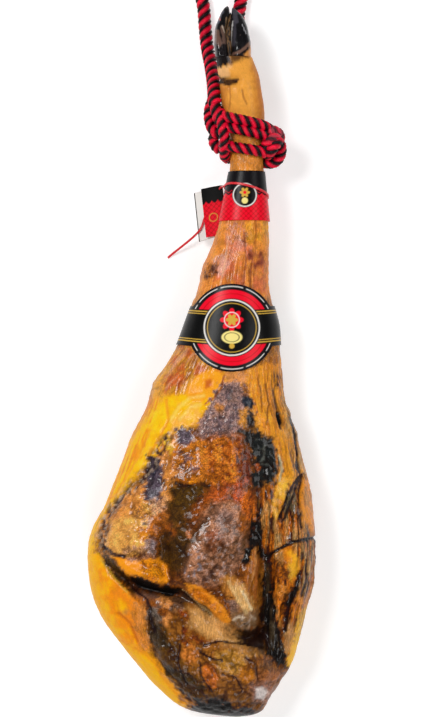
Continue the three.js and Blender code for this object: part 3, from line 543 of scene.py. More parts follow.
# Each patch: colour, kind of surface, pattern, softness and raggedness of its edge in plan units, cover,
# and its outline on the plan.
PATCHES = [
    # foot and shank
    [(230, 157, 64), "foot", "even", 6, 2, 1.0, [(205, 50), (268, 50), (272, 130), (205, 130)]],
    # painted shade down the foot's right edge
    [(184, 104, 38), "foot", "even", 6, 3, 0.8, [(253, 60), (268, 60), (274, 160), (262, 160), (256, 110)]],
    # painted shade down the foot's left edge, beside the hanging rope
    [(184, 108, 44), "foot", "even", 5, 3, 0.7, [(216, 84), (228, 84), (226, 130), (216, 130)]],
    [(236, 184, 124), "foot", "even", 2, 1, 0.8, [(217, 67), (229, 66), (230, 77), (219, 79)]],
    [(22, 16, 16), "foot", "even", 1.2, 1.5, 1.0,
     [(206, 50), (231, 52), (230, 61), (228, 65), (222, 67), (206, 68)]],
    [(58, 34, 24), "foot", "even", 2.4, 1.5, 0.9,
     [(229, 54), (252, 50), (254, 53), (246, 58), (236, 61), (229, 66)]],
    [(20, 12, 10), "hole", "even", 1.2, 0.4, 1.0,
     [(216, 76), (224, 78), (237, 79), (238, 83), (228, 85), (214, 84)]],
    [(224, 142, 58), "skin", "even", 8, 3, 1.0, [(222, 130), (272, 130), (275, 225), (215, 225)]],
    [(238, 146, 60), "skin", "even", 8, 3, 1.0, [(212, 216), (275, 216), (285, 300), (175, 300)]],
    [(250, 150, 64), "skin", "slow", 5, 3, 0.85,
     [(214, 222), (230, 222), (222, 262), (210, 290), (190, 290)]],
    [(230, 116, 76), "skin", "slow", 5, 4, 0.85,
     [(226, 240), (262, 246), (266, 292), (214, 292), (216, 272)]],
    [(232, 146, 116), "fibre", "cross", 4, 3, 0.75,
     [(228, 220), (245, 220), (247, 244), (236, 262), (226, 266), (228, 240)]],
    # painted highlights on fine wrinkles of the shank
    [(242, 178, 158), "fibre", "cross", 2, 2, 0.7,
     [(212, 258), (226, 253), (231, 266), (221, 277), (212, 273)]],
    [(170, 76, 42), "skin", "tall_gaps", 4, 3, 0.5, [(222, 250), (254, 256), (260, 292), (204, 292)]],
    [(246, 166, 52), "skin", "slow", 6, 4, 0.9,
     [(246, 219), (272, 219), (271, 244), (260, 249), (249, 240)]],
    [(122, 54, 44), "skin", "slow", 4, 3, 0.9,
     [(247, 252), (257, 247), (265, 253), (264, 267), (254, 274), (247, 264)]],
    [(110, 60, 60), "meat", "flecks", 2, 3, 0.8, [(237, 236), (247, 233), (249, 244), (240, 247)]],
    [(92, 48, 42), "meat", "slow", 3, 3, 0.9, [(205, 264), (214, 262), (216, 272), (211, 279), (204, 277)]],
    # below the label, left
    [(238, 166, 58), "skin", "even", 8, 3, 1.0,
     [(150, 340), (230, 360), (235, 400), (190, 420), (150, 420)]],
    [(212, 104, 50), "fibre", "slow", 4, 3, 1.0,
     [(180, 340), (206, 360), (227, 372), (222, 382), (204, 384), (184, 390), (168, 398), (160, 390),
      (168, 366)]],
    [(240, 165, 125), "fibre", "slant", 2, 2, 0.75,
     [(180, 345), (206, 362), (226, 374), (218, 384), (196, 386), (172, 396), (164, 388), (172, 364)]],
    [(160, 66, 36), "fibre", "slant_gaps", 2, 2, 0.6,
     [(180, 345), (206, 362), (226, 374), (218, 384), (196, 386), (172, 396), (164, 388), (172, 364)]],
    [(255, 186, 12), "fat", "even", 5, 3, 1.0,
     [(156, 402), (176, 393), (195, 391), (212, 400), (206, 410), (198, 424), (182, 442), (166, 450),
      (154, 460), (142, 470), (132, 482), (120, 495), (108, 510), (98, 530), (92, 560), (70, 580), (60, 520),
      (110, 470)]],
    [(247, 160, 34), "fat", "even", 2, 1, 1.0,
     [(199, 374), (212, 368), (225, 374), (223, 385), (214, 396), (203, 402), (190, 400), (184, 392),
      (190, 382)]],
    [(192, 84, 34), "fat", "even", 2, 1, 0.8, [(204, 380), (211, 378), (212, 386), (206, 389)]],
    [(232, 130, 30), "fat", "tall_gaps", 4, 2, 0.8,
     [(140, 400), (160, 396), (150, 450), (120, 490), (95, 530), (88, 520), (110, 470)]],
    [(250, 176, 70), "fat", "slow", 4, 3, 0.9,
     [(176, 404), (198, 404), (202, 416), (196, 436), (180, 446), (168, 440), (170, 420)]],
    [(255, 202, 32), "fat", "slow", 4, 2, 0.8,
     [(150, 412), (172, 400), (178, 412), (160, 440), (140, 466), (132, 470), (142, 440)]],
    [(230, 150, 84), "skin", "even", 3, 2, 0.9,
     [(226, 372), (250, 370), (250, 388), (240, 384), (224, 384)]],
    # right skin
    [(252, 164, 50), "hide", "even", 4, 3, 1.0,
     [(248, 368), (300, 360), (306, 400), (316, 450), (312, 475), (297, 486), (280, 520), (270, 505),
      (277, 480), (281, 460), (274, 440), (258, 432), (252, 412), (244, 392)]],
    [(208, 118, 38), "hide", "tall", 3, 3, 0.7,
     [(248, 368), (300, 360), (306, 400), (316, 450), (300, 455), (276, 440), (262, 430), (252, 410)]],
    [(214, 168, 104), "bark", "cross", 3, 2, 0.9,
     [(284, 366), (297, 362), (300, 405), (309, 440), (298, 442), (286, 436), (282, 410)]],
    [(38, 26, 20), "bark", "flecks", 2, 2, 0.9, [(273, 374), (284, 373), (284, 388), (274, 389)]],
    [(120, 72, 34), "bark", "tall", 4, 3, 0.8,
     [(284, 392), (300, 394), (308, 424), (312, 452), (304, 452), (294, 432), (288, 416)]],
    [(246, 162, 40), "hide", "slow", 3, 2, 1.0,
     [(274, 432), (290, 428), (296, 450), (298, 470), (292, 482), (280, 482), (280, 462)]],
    [(96, 50, 22), "hide", "reeds", 4, 3, 0.42,
     [(262, 372), (300, 364), (308, 410), (314, 452), (300, 480), (284, 472), (282, 442), (264, 426)]],
    # the dark ground of the cut face
    [(150, 84, 34), "meat", "even", 8, 3, 1.0,
     [(176, 436), (210, 420), (244, 420), (262, 470), (262, 520), (250, 560), (250, 600), (280, 640),
      (290, 690), (262, 716), (200, 716), (172, 680), (150, 630), (120, 585), (108, 555), (104, 535),
      (118, 510), (148, 480)]],
    [(124, 68, 26), "meat", "even", 10, 4, 1.0,
     [(176, 486), (206, 484), (240, 506), (250, 540), (244, 570), (226, 586), (190, 586), (168, 578),
      (162, 548), (166, 514)]],
    # mould round the charred patch
    [(206, 162, 152), "mould", "even", 2, 4, 1.0,
     [(222, 382), (240, 382), (244, 392), (251, 402), (250, 414), (243, 426), (240, 438), (226, 438),
      (214, 441), (203, 441), (197, 436), (200, 424), (207, 410), (212, 400), (217, 391)]],
    [(168, 132, 116), "mould", "slow", 2, 3, 0.7, [(226, 384), (240, 384), (240, 402), (228, 400)]],
    [(128, 112, 124), "mould", "even", 2, 3, 1.0,
     [(177, 428), (190, 429), (195, 440), (190, 450), (181, 450), (176, 440)]],
    [(92, 80, 90), "mould", "flecks", 2, 3, 0.75,
     [(204, 412), (214, 400), (224, 384), (236, 384), (242, 400), (240, 430), (226, 438), (208, 440),
      (198, 436)]],
    [(228, 146, 66), "meat", "slow", 1.5, 2, 0.9,
     [(215, 403), (225, 402), (225, 412), (219, 421), (213, 416)]],
    [(44, 50, 60), "char", "even", 2, 2, 1.0,
     [(242, 396), (249, 394), (255, 402), (254, 409), (246, 408), (241, 402)]],
    [(158, 94, 62), "mould", "slow", 2, 2, 0.8, [(240, 385), (249, 386), (250, 394), (241, 395)]],
    [(232, 152, 50), "crumb", "even", 2, 2, 0.9,
     [(239, 409), (249, 408), (249, 422), (243, 430), (238, 424)]],
    [(52, 50, 52), "char", "slow", 2, 4, 1.0,
     [(248, 410), (256, 412), (257, 430), (256, 446), (250, 448), (236, 440), (234, 430), (246, 426)]],
    # charred patch
    [(40, 44, 44), "char", "even", 3, 5, 1.0,
     [(240, 432), (250, 432), (262, 434), (272, 440), (278, 452), (282, 466), (277, 480), (268, 486),
      (259, 493), (250, 486), (250, 470), (252, 458), (246, 446)]],
    [(196, 118, 48), "hide", "tall", 2, 3, 0.8,
     [(274, 436), (284, 440), (286, 470), (278, 484), (276, 462)]],
    [(104, 106, 98), "char", "grains", 3, 2, 0.7,
     [(257, 434), (266, 436), (272, 450), (268, 468), (258, 462), (256, 448)]],
    [(198, 96, 44), "meat", "even", 1, 1, 0.9,
     [(255, 464), (259, 464), (261, 468), (258, 472), (255, 469)]],
    # orange and red dried meat in the middle
    [(232, 136, 48), "meat", "even", 3, 3, 1.0,
     [(168, 440), (182, 446), (198, 440), (208, 440), (210, 484), (196, 486), (178, 483), (166, 474),
      (160, 456)]],
    # painted highlight: peach specks on the orange meat
    [(246, 170, 110), "meat", "grains", 2, 2, 0.8,
     [(177, 463), (186, 462), (192, 468), (188, 474), (178, 473)]],
    [(112, 94, 104), "mould", "flecks", 2, 3, 0.8,
     [(172, 452), (184, 446), (200, 456), (204, 470), (192, 474), (174, 470)]],
    [(255, 142, 54), "meat", "even", 6, 4, 1.0,
     [(206, 440), (222, 433), (237, 438), (242, 452), (238, 470), (242, 486), (226, 490), (210, 486),
      (205, 468)]],
    [(246, 140, 40), "meat", "grains", 3, 2, 0.6, [(208, 440), (238, 438), (238, 484), (208, 484)]],
    [(166, 62, 24), "meat", "pits", 3, 2, 0.6, [(208, 438), (240, 438), (242, 490), (208, 490)]],
    [(128, 62, 46), "meat", "slow", 3, 4, 1.0,
     [(234, 438), (247, 444), (250, 456), (248, 474), (252, 488), (242, 488), (238, 466)]],
    [(70, 46, 60), "char", "flecks", 2, 3, 0.9, [(235, 450), (243, 450), (244, 476), (236, 476)]],
    [(224, 104, 62), "meat", "slow", 3, 3, 1.0,
     [(220, 482), (244, 480), (254, 492), (252, 504), (238, 506), (226, 504), (216, 494)]],
    [(190, 92, 42), "meat", "slow", 4, 3, 1.0,
     [(200, 486), (224, 484), (230, 504), (216, 512), (202, 512), (196, 500)]],
    [(240, 120, 40), "meat", "even", 2, 2, 1.0,
     [(243, 490), (253, 496), (259, 509), (254, 521), (244, 517), (239, 504)]],
    # left margin of the cut face
    [(250, 190, 58), "crumb", "even", 2, 2, 1.0,
     [(160, 440), (169, 436), (174, 446), (171, 457), (162, 456)]],
    [(240, 158, 84), "fibre", "slow", 2, 2, 0.8, [(168, 434), (177, 434), (178, 456), (171, 458)]],
    [(244, 156, 74), "curd", "even", 2, 4, 1.0,
     [(164, 440), (172, 460), (178, 478), (172, 500), (160, 514), (146, 524), (122, 530), (104, 540),
      (101, 530), (110, 510), (124, 496), (140, 480), (152, 462)]],
    [(98, 84, 96), "mould", "even", 2, 4, 1.0,
     [(149, 456), (157, 457), (163, 470), (164, 484), (160, 492), (162, 502), (150, 506), (142, 498),
      (144, 484), (145, 468)]],
    [(50, 50, 64), "char", "even", 2, 4, 0.9, [(151, 466), (156, 468), (157, 480), (152, 482), (150, 474)]],
    [(172, 166, 176), "mould", "slow", 2, 3, 0.9,
     [(148, 490), (160, 488), (163, 498), (158, 505), (148, 505)]],
    [(56, 44, 46), "char", "flecks", 2, 3, 0.9,
     [(160, 474), (178, 474), (181, 488), (170, 496), (160, 490)]],
    [(244, 176, 130), "meat", "slow", 2, 2, 0.9,
     [(150, 500), (166, 494), (170, 504), (164, 516), (150, 518)]],
    [(242, 168, 76), "meat", "slow", 2, 2, 0.9,
     [(132, 506), (150, 502), (152, 518), (146, 530), (130, 524)]],
    [(255, 178, 88), "curd", "even", 2, 3, 1.0,
     [(110, 520), (130, 516), (146, 522), (150, 536), (148, 552), (130, 558), (112, 556), (103, 546)]],
    [(240, 142, 36), "curd", "even", 2, 3, 0.9,
     [(139, 528), (148, 528), (150, 538), (144, 542), (138, 538)]],
    [(44, 30, 26), "hole", "flecks", 1, 1, 0.9, [(141, 519), (148, 518), (149, 527), (142, 528)]],
    # olive hollow, brown dome and the dark pad
    [(206, 118, 48), "meat", "slow", 3, 3, 1.0,
     [(148, 516), (172, 508), (184, 520), (178, 534), (160, 538), (146, 532)]],
    [(92, 62, 16), "dim", "even", 5, 5, 1.0,
     [(172, 486), (190, 484), (209, 482), (206, 494), (198, 504), (190, 514), (178, 524), (168, 514),
      (170, 498)]],
    [(84, 54, 18), "dim", "even", 4, 4, 1.0,
     [(158, 534), (170, 524), (186, 530), (200, 520), (214, 508), (206, 532), (196, 550), (186, 568),
      (172, 574), (160, 562)]],
    [(102, 66, 24), "dim", "slow", 5, 4, 0.95,
     [(168, 506), (184, 508), (196, 516), (194, 534), (176, 540), (164, 530)]],
    [(178, 92, 30), "meat", "even", 5, 3, 1.0,
     [(196, 506), (208, 500), (216, 510), (212, 526), (200, 536), (192, 528)]],
    [(190, 98, 34), "meat", "slow", 4, 3, 0.8, [(160, 522), (172, 524), (176, 536), (164, 542)]],
    [(210, 146, 110), "pad", "even", 5, 3, 1.0,
     [(212, 502), (228, 500), (240, 508), (248, 526), (247, 545), (241, 562), (229, 578), (210, 588),
      (196, 585), (184, 578), (184, 565), (191, 548), (197, 530), (204, 512)]],
    [(168, 88, 58), "pad", "slow", 3, 3, 0.8, [(206, 530), (222, 528), (226, 544), (214, 552), (206, 546)]],
    [(160, 124, 112), "pad", "slow", 4, 3, 0.8,
     [(214, 508), (228, 506), (236, 516), (236, 534), (226, 544), (216, 530)]],
    [(84, 54, 20), "dim", "slow", 3, 3, 1.0,
     [(240, 512), (248, 522), (247, 540), (240, 556), (230, 574), (222, 580), (226, 564), (234, 544),
      (240, 528)]],
    [(96, 60, 34), "dim", "slow", 4, 4, 0.55,
     [(206, 534), (222, 538), (236, 550), (228, 570), (212, 576), (200, 560)]],
    # painted glints: light grey specks standing for the wet sheen on the pad
    [(196, 168, 160), "pad", "grains", 3, 3, 0.65,
     [(206, 512), (236, 512), (244, 548), (226, 576), (196, 584), (186, 572), (198, 540)]],
    # painted glints: grey-violet specks on the pad's lower part
    [(176, 172, 184), "pad", "grains", 2, 2, 0.8,
     [(186, 552), (200, 550), (204, 566), (196, 582), (184, 578), (184, 562)]],
    [(46, 36, 40), "pad", "slow", 2, 3, 0.9, [(200, 572), (230, 562), (240, 568), (226, 584), (204, 586)]],
    [(232, 144, 94), "meat", "even", 1, 1, 0.9, [(186, 531), (191, 531), (191, 538), (187, 538)]],
    [(206, 112, 36), "meat", "even", 3, 3, 0.8,
     [(240, 514), (248, 516), (249, 526), (244, 534), (238, 528)]],
    # lip, slot and what lies left of them
    [(216, 162, 134), "meat", "slow", 2, 3, 1.0,
     [(122, 550), (140, 546), (156, 552), (160, 560), (140, 564), (124, 560)]],
    [(192, 168, 170), "mould", "slow", 1.5, 1.5, 0.95,
     [(145, 541), (152, 538), (158, 543), (157, 551), (149, 554), (144, 549)]],
    [(84, 60, 30), "meat", "even", 2, 3, 1.0,
     [(100, 554), (110, 557), (124, 570), (134, 584), (138, 594), (126, 592), (114, 580), (103, 566)]],
    [(246, 150, 28), "fat", "even", 2, 2, 1.0,
     [(114, 557), (140, 561), (158, 557), (168, 568), (167, 583), (158, 585), (146, 580), (130, 577),
      (121, 569)]],
    [(214, 118, 36), "meat", "slow", 3, 2, 0.9,
     [(140, 562), (160, 560), (166, 572), (158, 582), (142, 576)]],
    [(128, 92, 76), "fibre", "slow", 2, 3, 1.0,
     [(126, 582), (136, 588), (160, 596), (176, 596), (166, 610), (160, 632), (150, 632), (146, 608),
      (134, 596)]],
    [(226, 146, 78), "crumb", "slow", 2, 3, 0.95,
     [(158, 592), (174, 596), (180, 612), (178, 632), (166, 636), (160, 616)]],
    [(100, 74, 58), "meat", "even", 2, 3, 0.9,
     [(170, 596), (188, 594), (194, 604), (184, 614), (172, 610)]],
    # painted shadow: the slot under the overhanging upper mass
    [(14, 8, 5), "hole", "even", 1.2, 1.5, 1.0,
     [(128, 575), (144, 577), (154, 583), (168, 586), (183, 588), (178, 594), (168, 597), (150, 592),
      (136, 587)]],
    # lower left fat
    [(250, 176, 6), "fat", "even", 3, 2, 1.0,
     [(86, 550), (99, 552), (104, 566), (116, 582), (128, 594), (131, 606), (122, 612), (131, 626),
      (137, 640), (146, 648), (155, 656), (163, 666), (172, 680), (182, 692), (190, 704), (196, 716),
      (150, 712), (100, 660), (70, 600)]],
    [(236, 132, 14), "fat", "slow", 7, 6, 0.8,
     [(98, 562), (106, 574), (126, 590), (140, 602), (146, 625), (148, 650), (138, 650), (122, 640),
      (106, 618), (98, 590)]],
    [(234, 134, 28), "fat", "slow", 4, 3, 0.95,
     [(106, 574), (126, 590), (140, 602), (146, 625), (148, 650), (138, 648), (130, 628), (119, 614),
      (110, 598)]],
    [(228, 146, 72), "fibre", "slow", 2, 3, 0.9,
     [(132, 602), (144, 606), (150, 630), (150, 650), (140, 648), (134, 626)]],
    # butt end
    [(160, 100, 44), "crumb", "even", 4, 4, 1.0,
     [(152, 640), (178, 612), (208, 610), (240, 638), (292, 650), (300, 680), (275, 704), (262, 722),
      (200, 722), (184, 704), (166, 672)]],
    [(80, 56, 24), "crumb", "even", 6, 3, 0.9,
     [(146, 618), (158, 614), (168, 636), (182, 646), (184, 664), (200, 676), (206, 690), (230, 694),
      (232, 706), (200, 708), (182, 694), (164, 672), (152, 650)]],
    [(132, 118, 106), "mould", "slow", 2, 3, 0.9,
     [(146, 606), (160, 606), (164, 616), (158, 624), (146, 622)]],
    [(78, 66, 52), "mould", "slow", 2, 3, 0.9, [(144, 622), (162, 624), (170, 646), (154, 650)]],
    [(152, 74, 28), "pad", "slow", 2, 3, 1.0, [(178, 612), (200, 610), (210, 622), (208, 642), (184, 644)]],
    [(216, 128, 56), "crumb", "even", 2, 2, 1.0,
     [(182, 646), (192, 643), (199, 650), (197, 661), (187, 664), (181, 656)]],
    [(208, 112, 46), "crumb", "even", 2, 3, 1.0,
     [(203, 664), (213, 664), (220, 676), (216, 687), (206, 686)]],
    [(198, 138, 60), "crumb", "even", 2, 2, 1.0,
     [(215, 652), (230, 647), (244, 652), (247, 668), (232, 676), (218, 670)]],
    [(200, 142, 72), "crumb", "slow", 2, 2, 1.0,
     [(233, 640), (252, 637), (265, 645), (262, 656), (244, 657), (234, 650)]],
    [(202, 122, 40), "crumb", "even", 2, 2, 0.9,
     [(240, 666), (252, 664), (257, 674), (250, 685), (241, 681)]],
    [(176, 104, 54), "meat", "slow", 3, 2, 0.9,
     [(256, 658), (280, 656), (286, 676), (270, 690), (256, 684)]],
    [(70, 58, 42), "mould", "slow", 3, 4, 0.9,
     [(160, 660), (180, 672), (204, 684), (196, 700), (176, 690)]],
    [(26, 18, 10), "crumb", "even", 4, 6, 1.0,
     [(190, 700), (214, 698), (236, 705), (256, 708), (262, 724), (204, 724), (190, 712)]],
    [(90, 58, 24), "crumb", "slow", 3, 5, 0.9,
     [(224, 690), (246, 688), (262, 700), (258, 712), (236, 706)]],
    [(176, 118, 92), "meat", "even", 3, 2, 0.9,
     [(248, 684), (262, 680), (274, 686), (270, 702), (254, 704)]],
    [(240, 226, 220), "bone", "even", 2, 1, 0.95,
     [(255, 688), (263, 686), (268, 692), (264, 700), (256, 699)]],
    # fold, bone and wedge
    [(158, 98, 42), "fibre", "even", 3, 3, 1.0,
     [(184, 604), (204, 602), (222, 616), (240, 630), (268, 645), (248, 653), (226, 647), (206, 640),
      (190, 630)]],
    [(228, 168, 98), "fibre", "even", 5, 4, 0.9,
     [(188, 609), (204, 606), (222, 620), (240, 632), (266, 645), (246, 649), (226, 643), (206, 636),
      (192, 626)]],
    [(152, 84, 34), "meat", "slow", 2, 2, 1.0,
     [(204, 582), (218, 582), (230, 594), (238, 610), (232, 620), (222, 608), (210, 594)]],
    [(240, 148, 38), "fat", "even", 1.5, 2, 1.0,
     [(184, 584), (198, 585), (210, 593), (222, 606), (232, 620), (226, 625), (212, 614), (196, 600)]],
    [(196, 104, 34), "meat", "slow", 3, 3, 0.75,
     [(186, 586), (206, 594), (226, 618), (216, 616), (200, 602)]],
    [(188, 110, 54), "fibre", "tall", 2, 2, 1.0,
     [(252, 546), (261, 550), (262, 575), (260, 602), (250, 598), (245, 580), (248, 560)]],
    [(204, 134, 62), "fibre", "even", 3, 3, 1.0,
     [(220, 575), (234, 576), (246, 587), (253, 600), (256, 614), (246, 620), (236, 610), (228, 597),
      (221, 586)]],
    [(238, 186, 116), "fibre", "slow", 3, 4, 0.85,
     [(230, 580), (242, 586), (251, 598), (254, 610), (246, 612), (236, 600)]],
    [(150, 118, 104), "meat", "slow", 2, 3, 0.9, [(226, 602), (238, 600), (243, 612), (232, 616)]],
    [(150, 112, 76), "fibre", "even", 4, 4, 1.0,
     [(230, 613), (243, 610), (256, 612), (259, 621), (253, 629), (241, 631), (232, 625)]],
    [(166, 146, 130), "bone", "flecks", 2, 3, 0.8,
     [(232, 616), (246, 613), (256, 617), (252, 627), (238, 628)]],
    [(52, 38, 30), "dim", "flecks", 2, 4, 0.9, [(238, 621), (248, 620), (250, 626), (240, 628)]],
    # painted shadow in the crevice under the knob
    [(30, 22, 18), "dim", "even", 1.5, 2, 0.9,
     [(234, 629), (248, 631), (258, 627), (260, 632), (250, 636), (238, 634)]],
    # dark channel and right rim
    [(222, 122, 38), "bark", "even", 3, 3, 1.0,
     [(258, 490), (272, 486), (282, 510), (292, 486), (302, 500), (312, 516), (330, 530), (330, 600),
      (310, 640), (300, 670), (286, 660), (274, 620), (270, 590), (266, 560), (254, 545), (252, 520)]],
    [(24, 18, 12), "bark", "reeds", 3, 3, 0.9,
     [(255, 490), (284, 486), (300, 505), (316, 520), (318, 590), (300, 640), (288, 660), (272, 620),
      (262, 560), (250, 548), (252, 520)]],
    [(198, 150, 88), "bark", "tall", 3, 2, 0.7,
     [(258, 500), (300, 510), (314, 530), (316, 590), (300, 600), (290, 580), (276, 560), (262, 545)]],
    [(34, 26, 16), "bark", "even", 2, 3, 1.0,
     [(257, 508), (263, 530), (262, 546), (269, 560), (273, 590), (277, 620), (286, 652), (290, 670),
      (276, 664), (265, 650), (262, 625), (261, 600), (263, 580), (263, 560), (256, 548), (250, 558),
      (245, 566), (242, 560), (248, 540), (252, 522)]],
    # painted highlight streaks in the dark channel
    [(126, 110, 88), "bark", "tall", 2, 2, 0.5,
     [(264, 560), (272, 570), (278, 620), (286, 650), (270, 650), (264, 620)]],
    # painted shadow below the bone
    [(38, 24, 14), "hole", "even", 5, 3, 1.0,
     [(225, 628), (240, 633), (256, 632), (265, 622), (270, 640), (264, 654), (244, 646)]],
    [(240, 138, 24), "skin", "slow", 4, 3, 0.9,
     [(280, 548), (290, 546), (294, 556), (290, 566), (280, 560)]],
    [(250, 180, 40), "fat", "slow", 4, 3, 0.85,
     [(289, 552), (298, 556), (303, 566), (298, 576), (291, 582), (288, 570)]],
    [(158, 86, 28), "meat", "slow", 2, 3, 0.95,
     [(272, 556), (286, 560), (290, 574), (280, 582), (272, 574)]],
    [(204, 154, 92), "bark", "tall", 2, 2, 0.9,
     [(300, 546), (314, 542), (316, 580), (312, 602), (300, 596), (302, 570)]],
    [(224, 138, 56), "crumb", "even", 2, 2, 0.95,
     [(277, 584), (286, 583), (289, 594), (282, 600), (277, 594)]],
    [(34, 31, 34), "bark", "slow", 2, 3, 0.95,
     [(282, 596), (298, 580), (300, 592), (292, 612), (290, 640), (282, 640)]],
    [(230, 142, 46), "skin", "slow", 2, 2, 1.0,
     [(298, 592), (313, 586), (316, 600), (304, 622), (292, 616)]],
    [(252, 182, 40), "fat", "even", 2, 2, 1.0,
     [(300, 612), (312, 600), (308, 630), (300, 660), (292, 672), (287, 664), (290, 640), (296, 626)]],
    [(208, 152, 94), "fibre", "slow", 2, 2, 0.9,
     [(286, 620), (296, 618), (294, 640), (288, 656), (283, 648)]],
    [(246, 178, 64), "skin", "slow", 2, 2, 1.0,
     [(281, 478), (291, 478), (287, 492), (283, 510), (275, 522), (272, 505), (275, 490)]],
    [(40, 24, 14), "bark", "reeds", 6, 4, 0.6,
     [(292, 440), (316, 450), (330, 520), (326, 600), (306, 650), (296, 640), (304, 580), (300, 530),
      (288, 520), (292, 480)]],
    [(124, 108, 78), "bark", "tall", 2, 2, 0.9,
     [(288, 490), (298, 488), (298, 506), (288, 518), (282, 514)]],
    [(242, 148, 32), "skin", "slow", 2, 2, 1.0,
     [(300, 480), (308, 478), (315, 500), (322, 520), (314, 534), (306, 530), (300, 512), (298, 494)]],
    [(216, 166, 98), "skin", "slow", 2, 1, 0.9, [(298, 448), (309, 446), (310, 474), (300, 472)]],
]
# Each line: colour, width, cover, height in mm, negative for a groove, and its points on the plan
LINES = [
    [(96, 62, 34), 1.4, 0.9, -1.6, [(217, 78), (226, 82), (238, 80)]],
    [(150, 92, 44), 1.0, 0.45, -0.8, [(229, 85), (230.5, 97), (229, 108)]],
    [(126, 72, 34), 1.1, 0.5, -1.0, [(242, 89), (243.5, 96), (247, 104)]],
    [(130, 60, 40), 1.2, 0.6, -1.0, [(252, 262), (250, 276), (251, 290)]],
    [(176, 92, 30), 1.6, 0.5, -0.8, [(256, 221), (257, 232), (255, 243)]],
    # painted highlight streak down the shank
    [(250, 182, 140), 1.2, 0.6, 0.6, [(228, 236), (226, 258), (220, 286)]],
    [(176, 88, 44), 1.2, 0.6, -0.8, [(244, 232), (246, 256), (243, 288)]],
    [(255, 220, 110), 2.4, 0.35, 1.2, [(171, 421), (178, 408), (190, 398), (204, 396)]],
    [(255, 222, 120), 2.2, 0.3, 1.0, [(180, 420), (190, 408), (200, 404)]],
    [(238, 150, 40), 1.6, 0.7, -1.0, [(166, 400), (168, 420), (160, 436), (148, 456)]],
    [(236, 150, 44), 1.4, 0.6, -0.8, [(150, 430), (140, 452), (128, 474), (112, 498)]],
    [(170, 90, 50), 1.2, 0.8, -1.2, [(224, 376), (222, 387), (214, 398), (205, 404)]],
    [(84, 50, 34), 1.3, 0.85, -1.6, [(274, 390), (277, 405), (281, 428)]],
    [(24, 16, 12), 2.2, 1.0, -3.0, [(279, 413), (281, 424)]],
    [(120, 70, 36), 1.1, 0.7, -1.0, [(266, 384), (269, 402), (267, 424)]],
    [(130, 78, 40), 1.0, 0.6, -1.0, [(258, 378), (262, 396), (262, 412)]],
    [(110, 66, 36), 1.0, 0.7, -1.0, [(286, 372), (288, 396), (293, 420), (296, 440)]],
    [(30, 18, 14), 1.7, 0.95, -2.0,
     [(291, 418), (296, 440), (298, 466), (301, 476), (294, 485), (288, 495), (284, 508), (280, 519)]],
    [(34, 22, 16), 1.4, 0.9, -1.6, [(300, 478), (296, 490), (290, 504), (284, 520)]],
    [(38, 26, 18), 1.3, 0.9, -1.4, [(303, 474), (299, 492), (298, 512), (302, 528)]],
    [(206, 186, 142), 1.3, 0.85, 0.8, [(279, 456), (282, 468), (280, 480)]],
    [(246, 140, 24), 2.4, 0.9, 1.2, [(178, 480), (187, 482), (196, 482)]],
    [(26, 16, 10), 2.2, 0.6, -1.6, [(178, 485), (190, 486), (200, 483), (208, 486)]],
    [(60, 44, 46), 3.6, 0.0, -1.4,
     [(167, 436), (158, 452), (150, 465), (141, 478), (131, 488), (121, 497), (112, 507), (106, 518),
      (102, 532), (102, 548)]],
    [(48, 40, 46), 2.4, 0.95, -1.2, [(102, 546), (112, 553), (124, 557)]],
    [(40, 24, 14), 2.6, 0.5, -0.8, [(196, 532), (206, 520), (214, 506)]],
    [(52, 34, 22), 2.4, 0.5, -0.8, [(176, 542), (186, 556), (184, 572)]],
    [(54, 44, 50), 1.7, 0.9, -2.0, [(133, 586), (146, 600), (150, 612), (154, 632)]],
    [(216, 168, 60), 1.3, 0.7, 0.8, [(101, 560), (113, 576), (127, 592)]],
    # painted shadow along the fold's lower edge
    [(70, 48, 22), 2.4, 0.9, -2.0, [(180, 592), (196, 603), (210, 614)]],
    [(224, 186, 130), 0.9, 0.8, 0.8, [(182, 589), (199, 605), (213, 616)]],
    [(206, 110, 30), 1.6, 0.8, -1.2, [(118, 613), (130, 624), (137, 642)]],
    [(236, 146, 26), 3.6, 0.7, -0.6, [(139, 648), (156, 662), (166, 680), (184, 702)]],
    [(34, 22, 14), 1.3, 0.9, -1.8, [(199, 652), (211, 658), (223, 661)]],
    [(34, 22, 14), 1.4, 0.9, -1.8, [(204, 646), (220, 641), (238, 643), (262, 646)]],
    [(44, 28, 18), 1.2, 0.8, -1.6, [(180, 644), (178, 664), (186, 684)]],
    [(44, 28, 18), 1.2, 0.8, -1.6, [(200, 662), (201, 676), (212, 692)]],
    [(48, 30, 18), 1.2, 0.8, -1.6, [(222, 674), (236, 678), (242, 690)]],
    [(50, 30, 18), 1.2, 0.8, -1.6, [(246, 658), (256, 664), (258, 680)]],
    # painted highlights along the bone and on the upper rim of its knob
    [(246, 206, 140), 2.0, 0.5, 1.2, [(228, 582), (234, 592), (241, 604), (246, 613)]],
    [(255, 232, 186), 1.4, 0.55, 0.8, [(242, 592), (248, 601), (251, 610)]],
    [(232, 208, 178), 1.6, 0.8, 1.2, [(233, 620), (239, 617), (243, 618)]],
    [(222, 200, 172), 1.3, 0.5, 0.8, [(250, 616), (255, 619)]],
    # painted highlight down the tan wedge
    [(232, 160, 90), 1.2, 0.7, 0.8, [(255, 548), (256, 562), (252, 580)]],
    [(20, 14, 10), 1.8, 0.95, -2.4, [(316, 537), (300, 541), (290, 543), (278, 550), (266, 557)]],
    [(240, 192, 84), 1.4, 0.0, 1.0, [(314, 535), (300, 538), (288, 541)]],
    [(20, 15, 10), 2.4, 0.9, -1.8, [(301, 572), (295, 588), (288, 604), (285, 630)]],
    [(18, 14, 10), 1.5, 0.9, -1.2, [(306, 560), (307, 580), (302, 596)]],
    [(22, 16, 12), 1.6, 0.9, -0.8, [(315, 515), (317, 545), (316, 575)]],
    [(22, 16, 12), 1.4, 0.8, -1.6, [(272, 600), (276, 622), (283, 648)]],
    [(190, 128, 64), 1.4, 0.8, 1.0, [(274, 598), (278, 614), (281, 628)]],
]


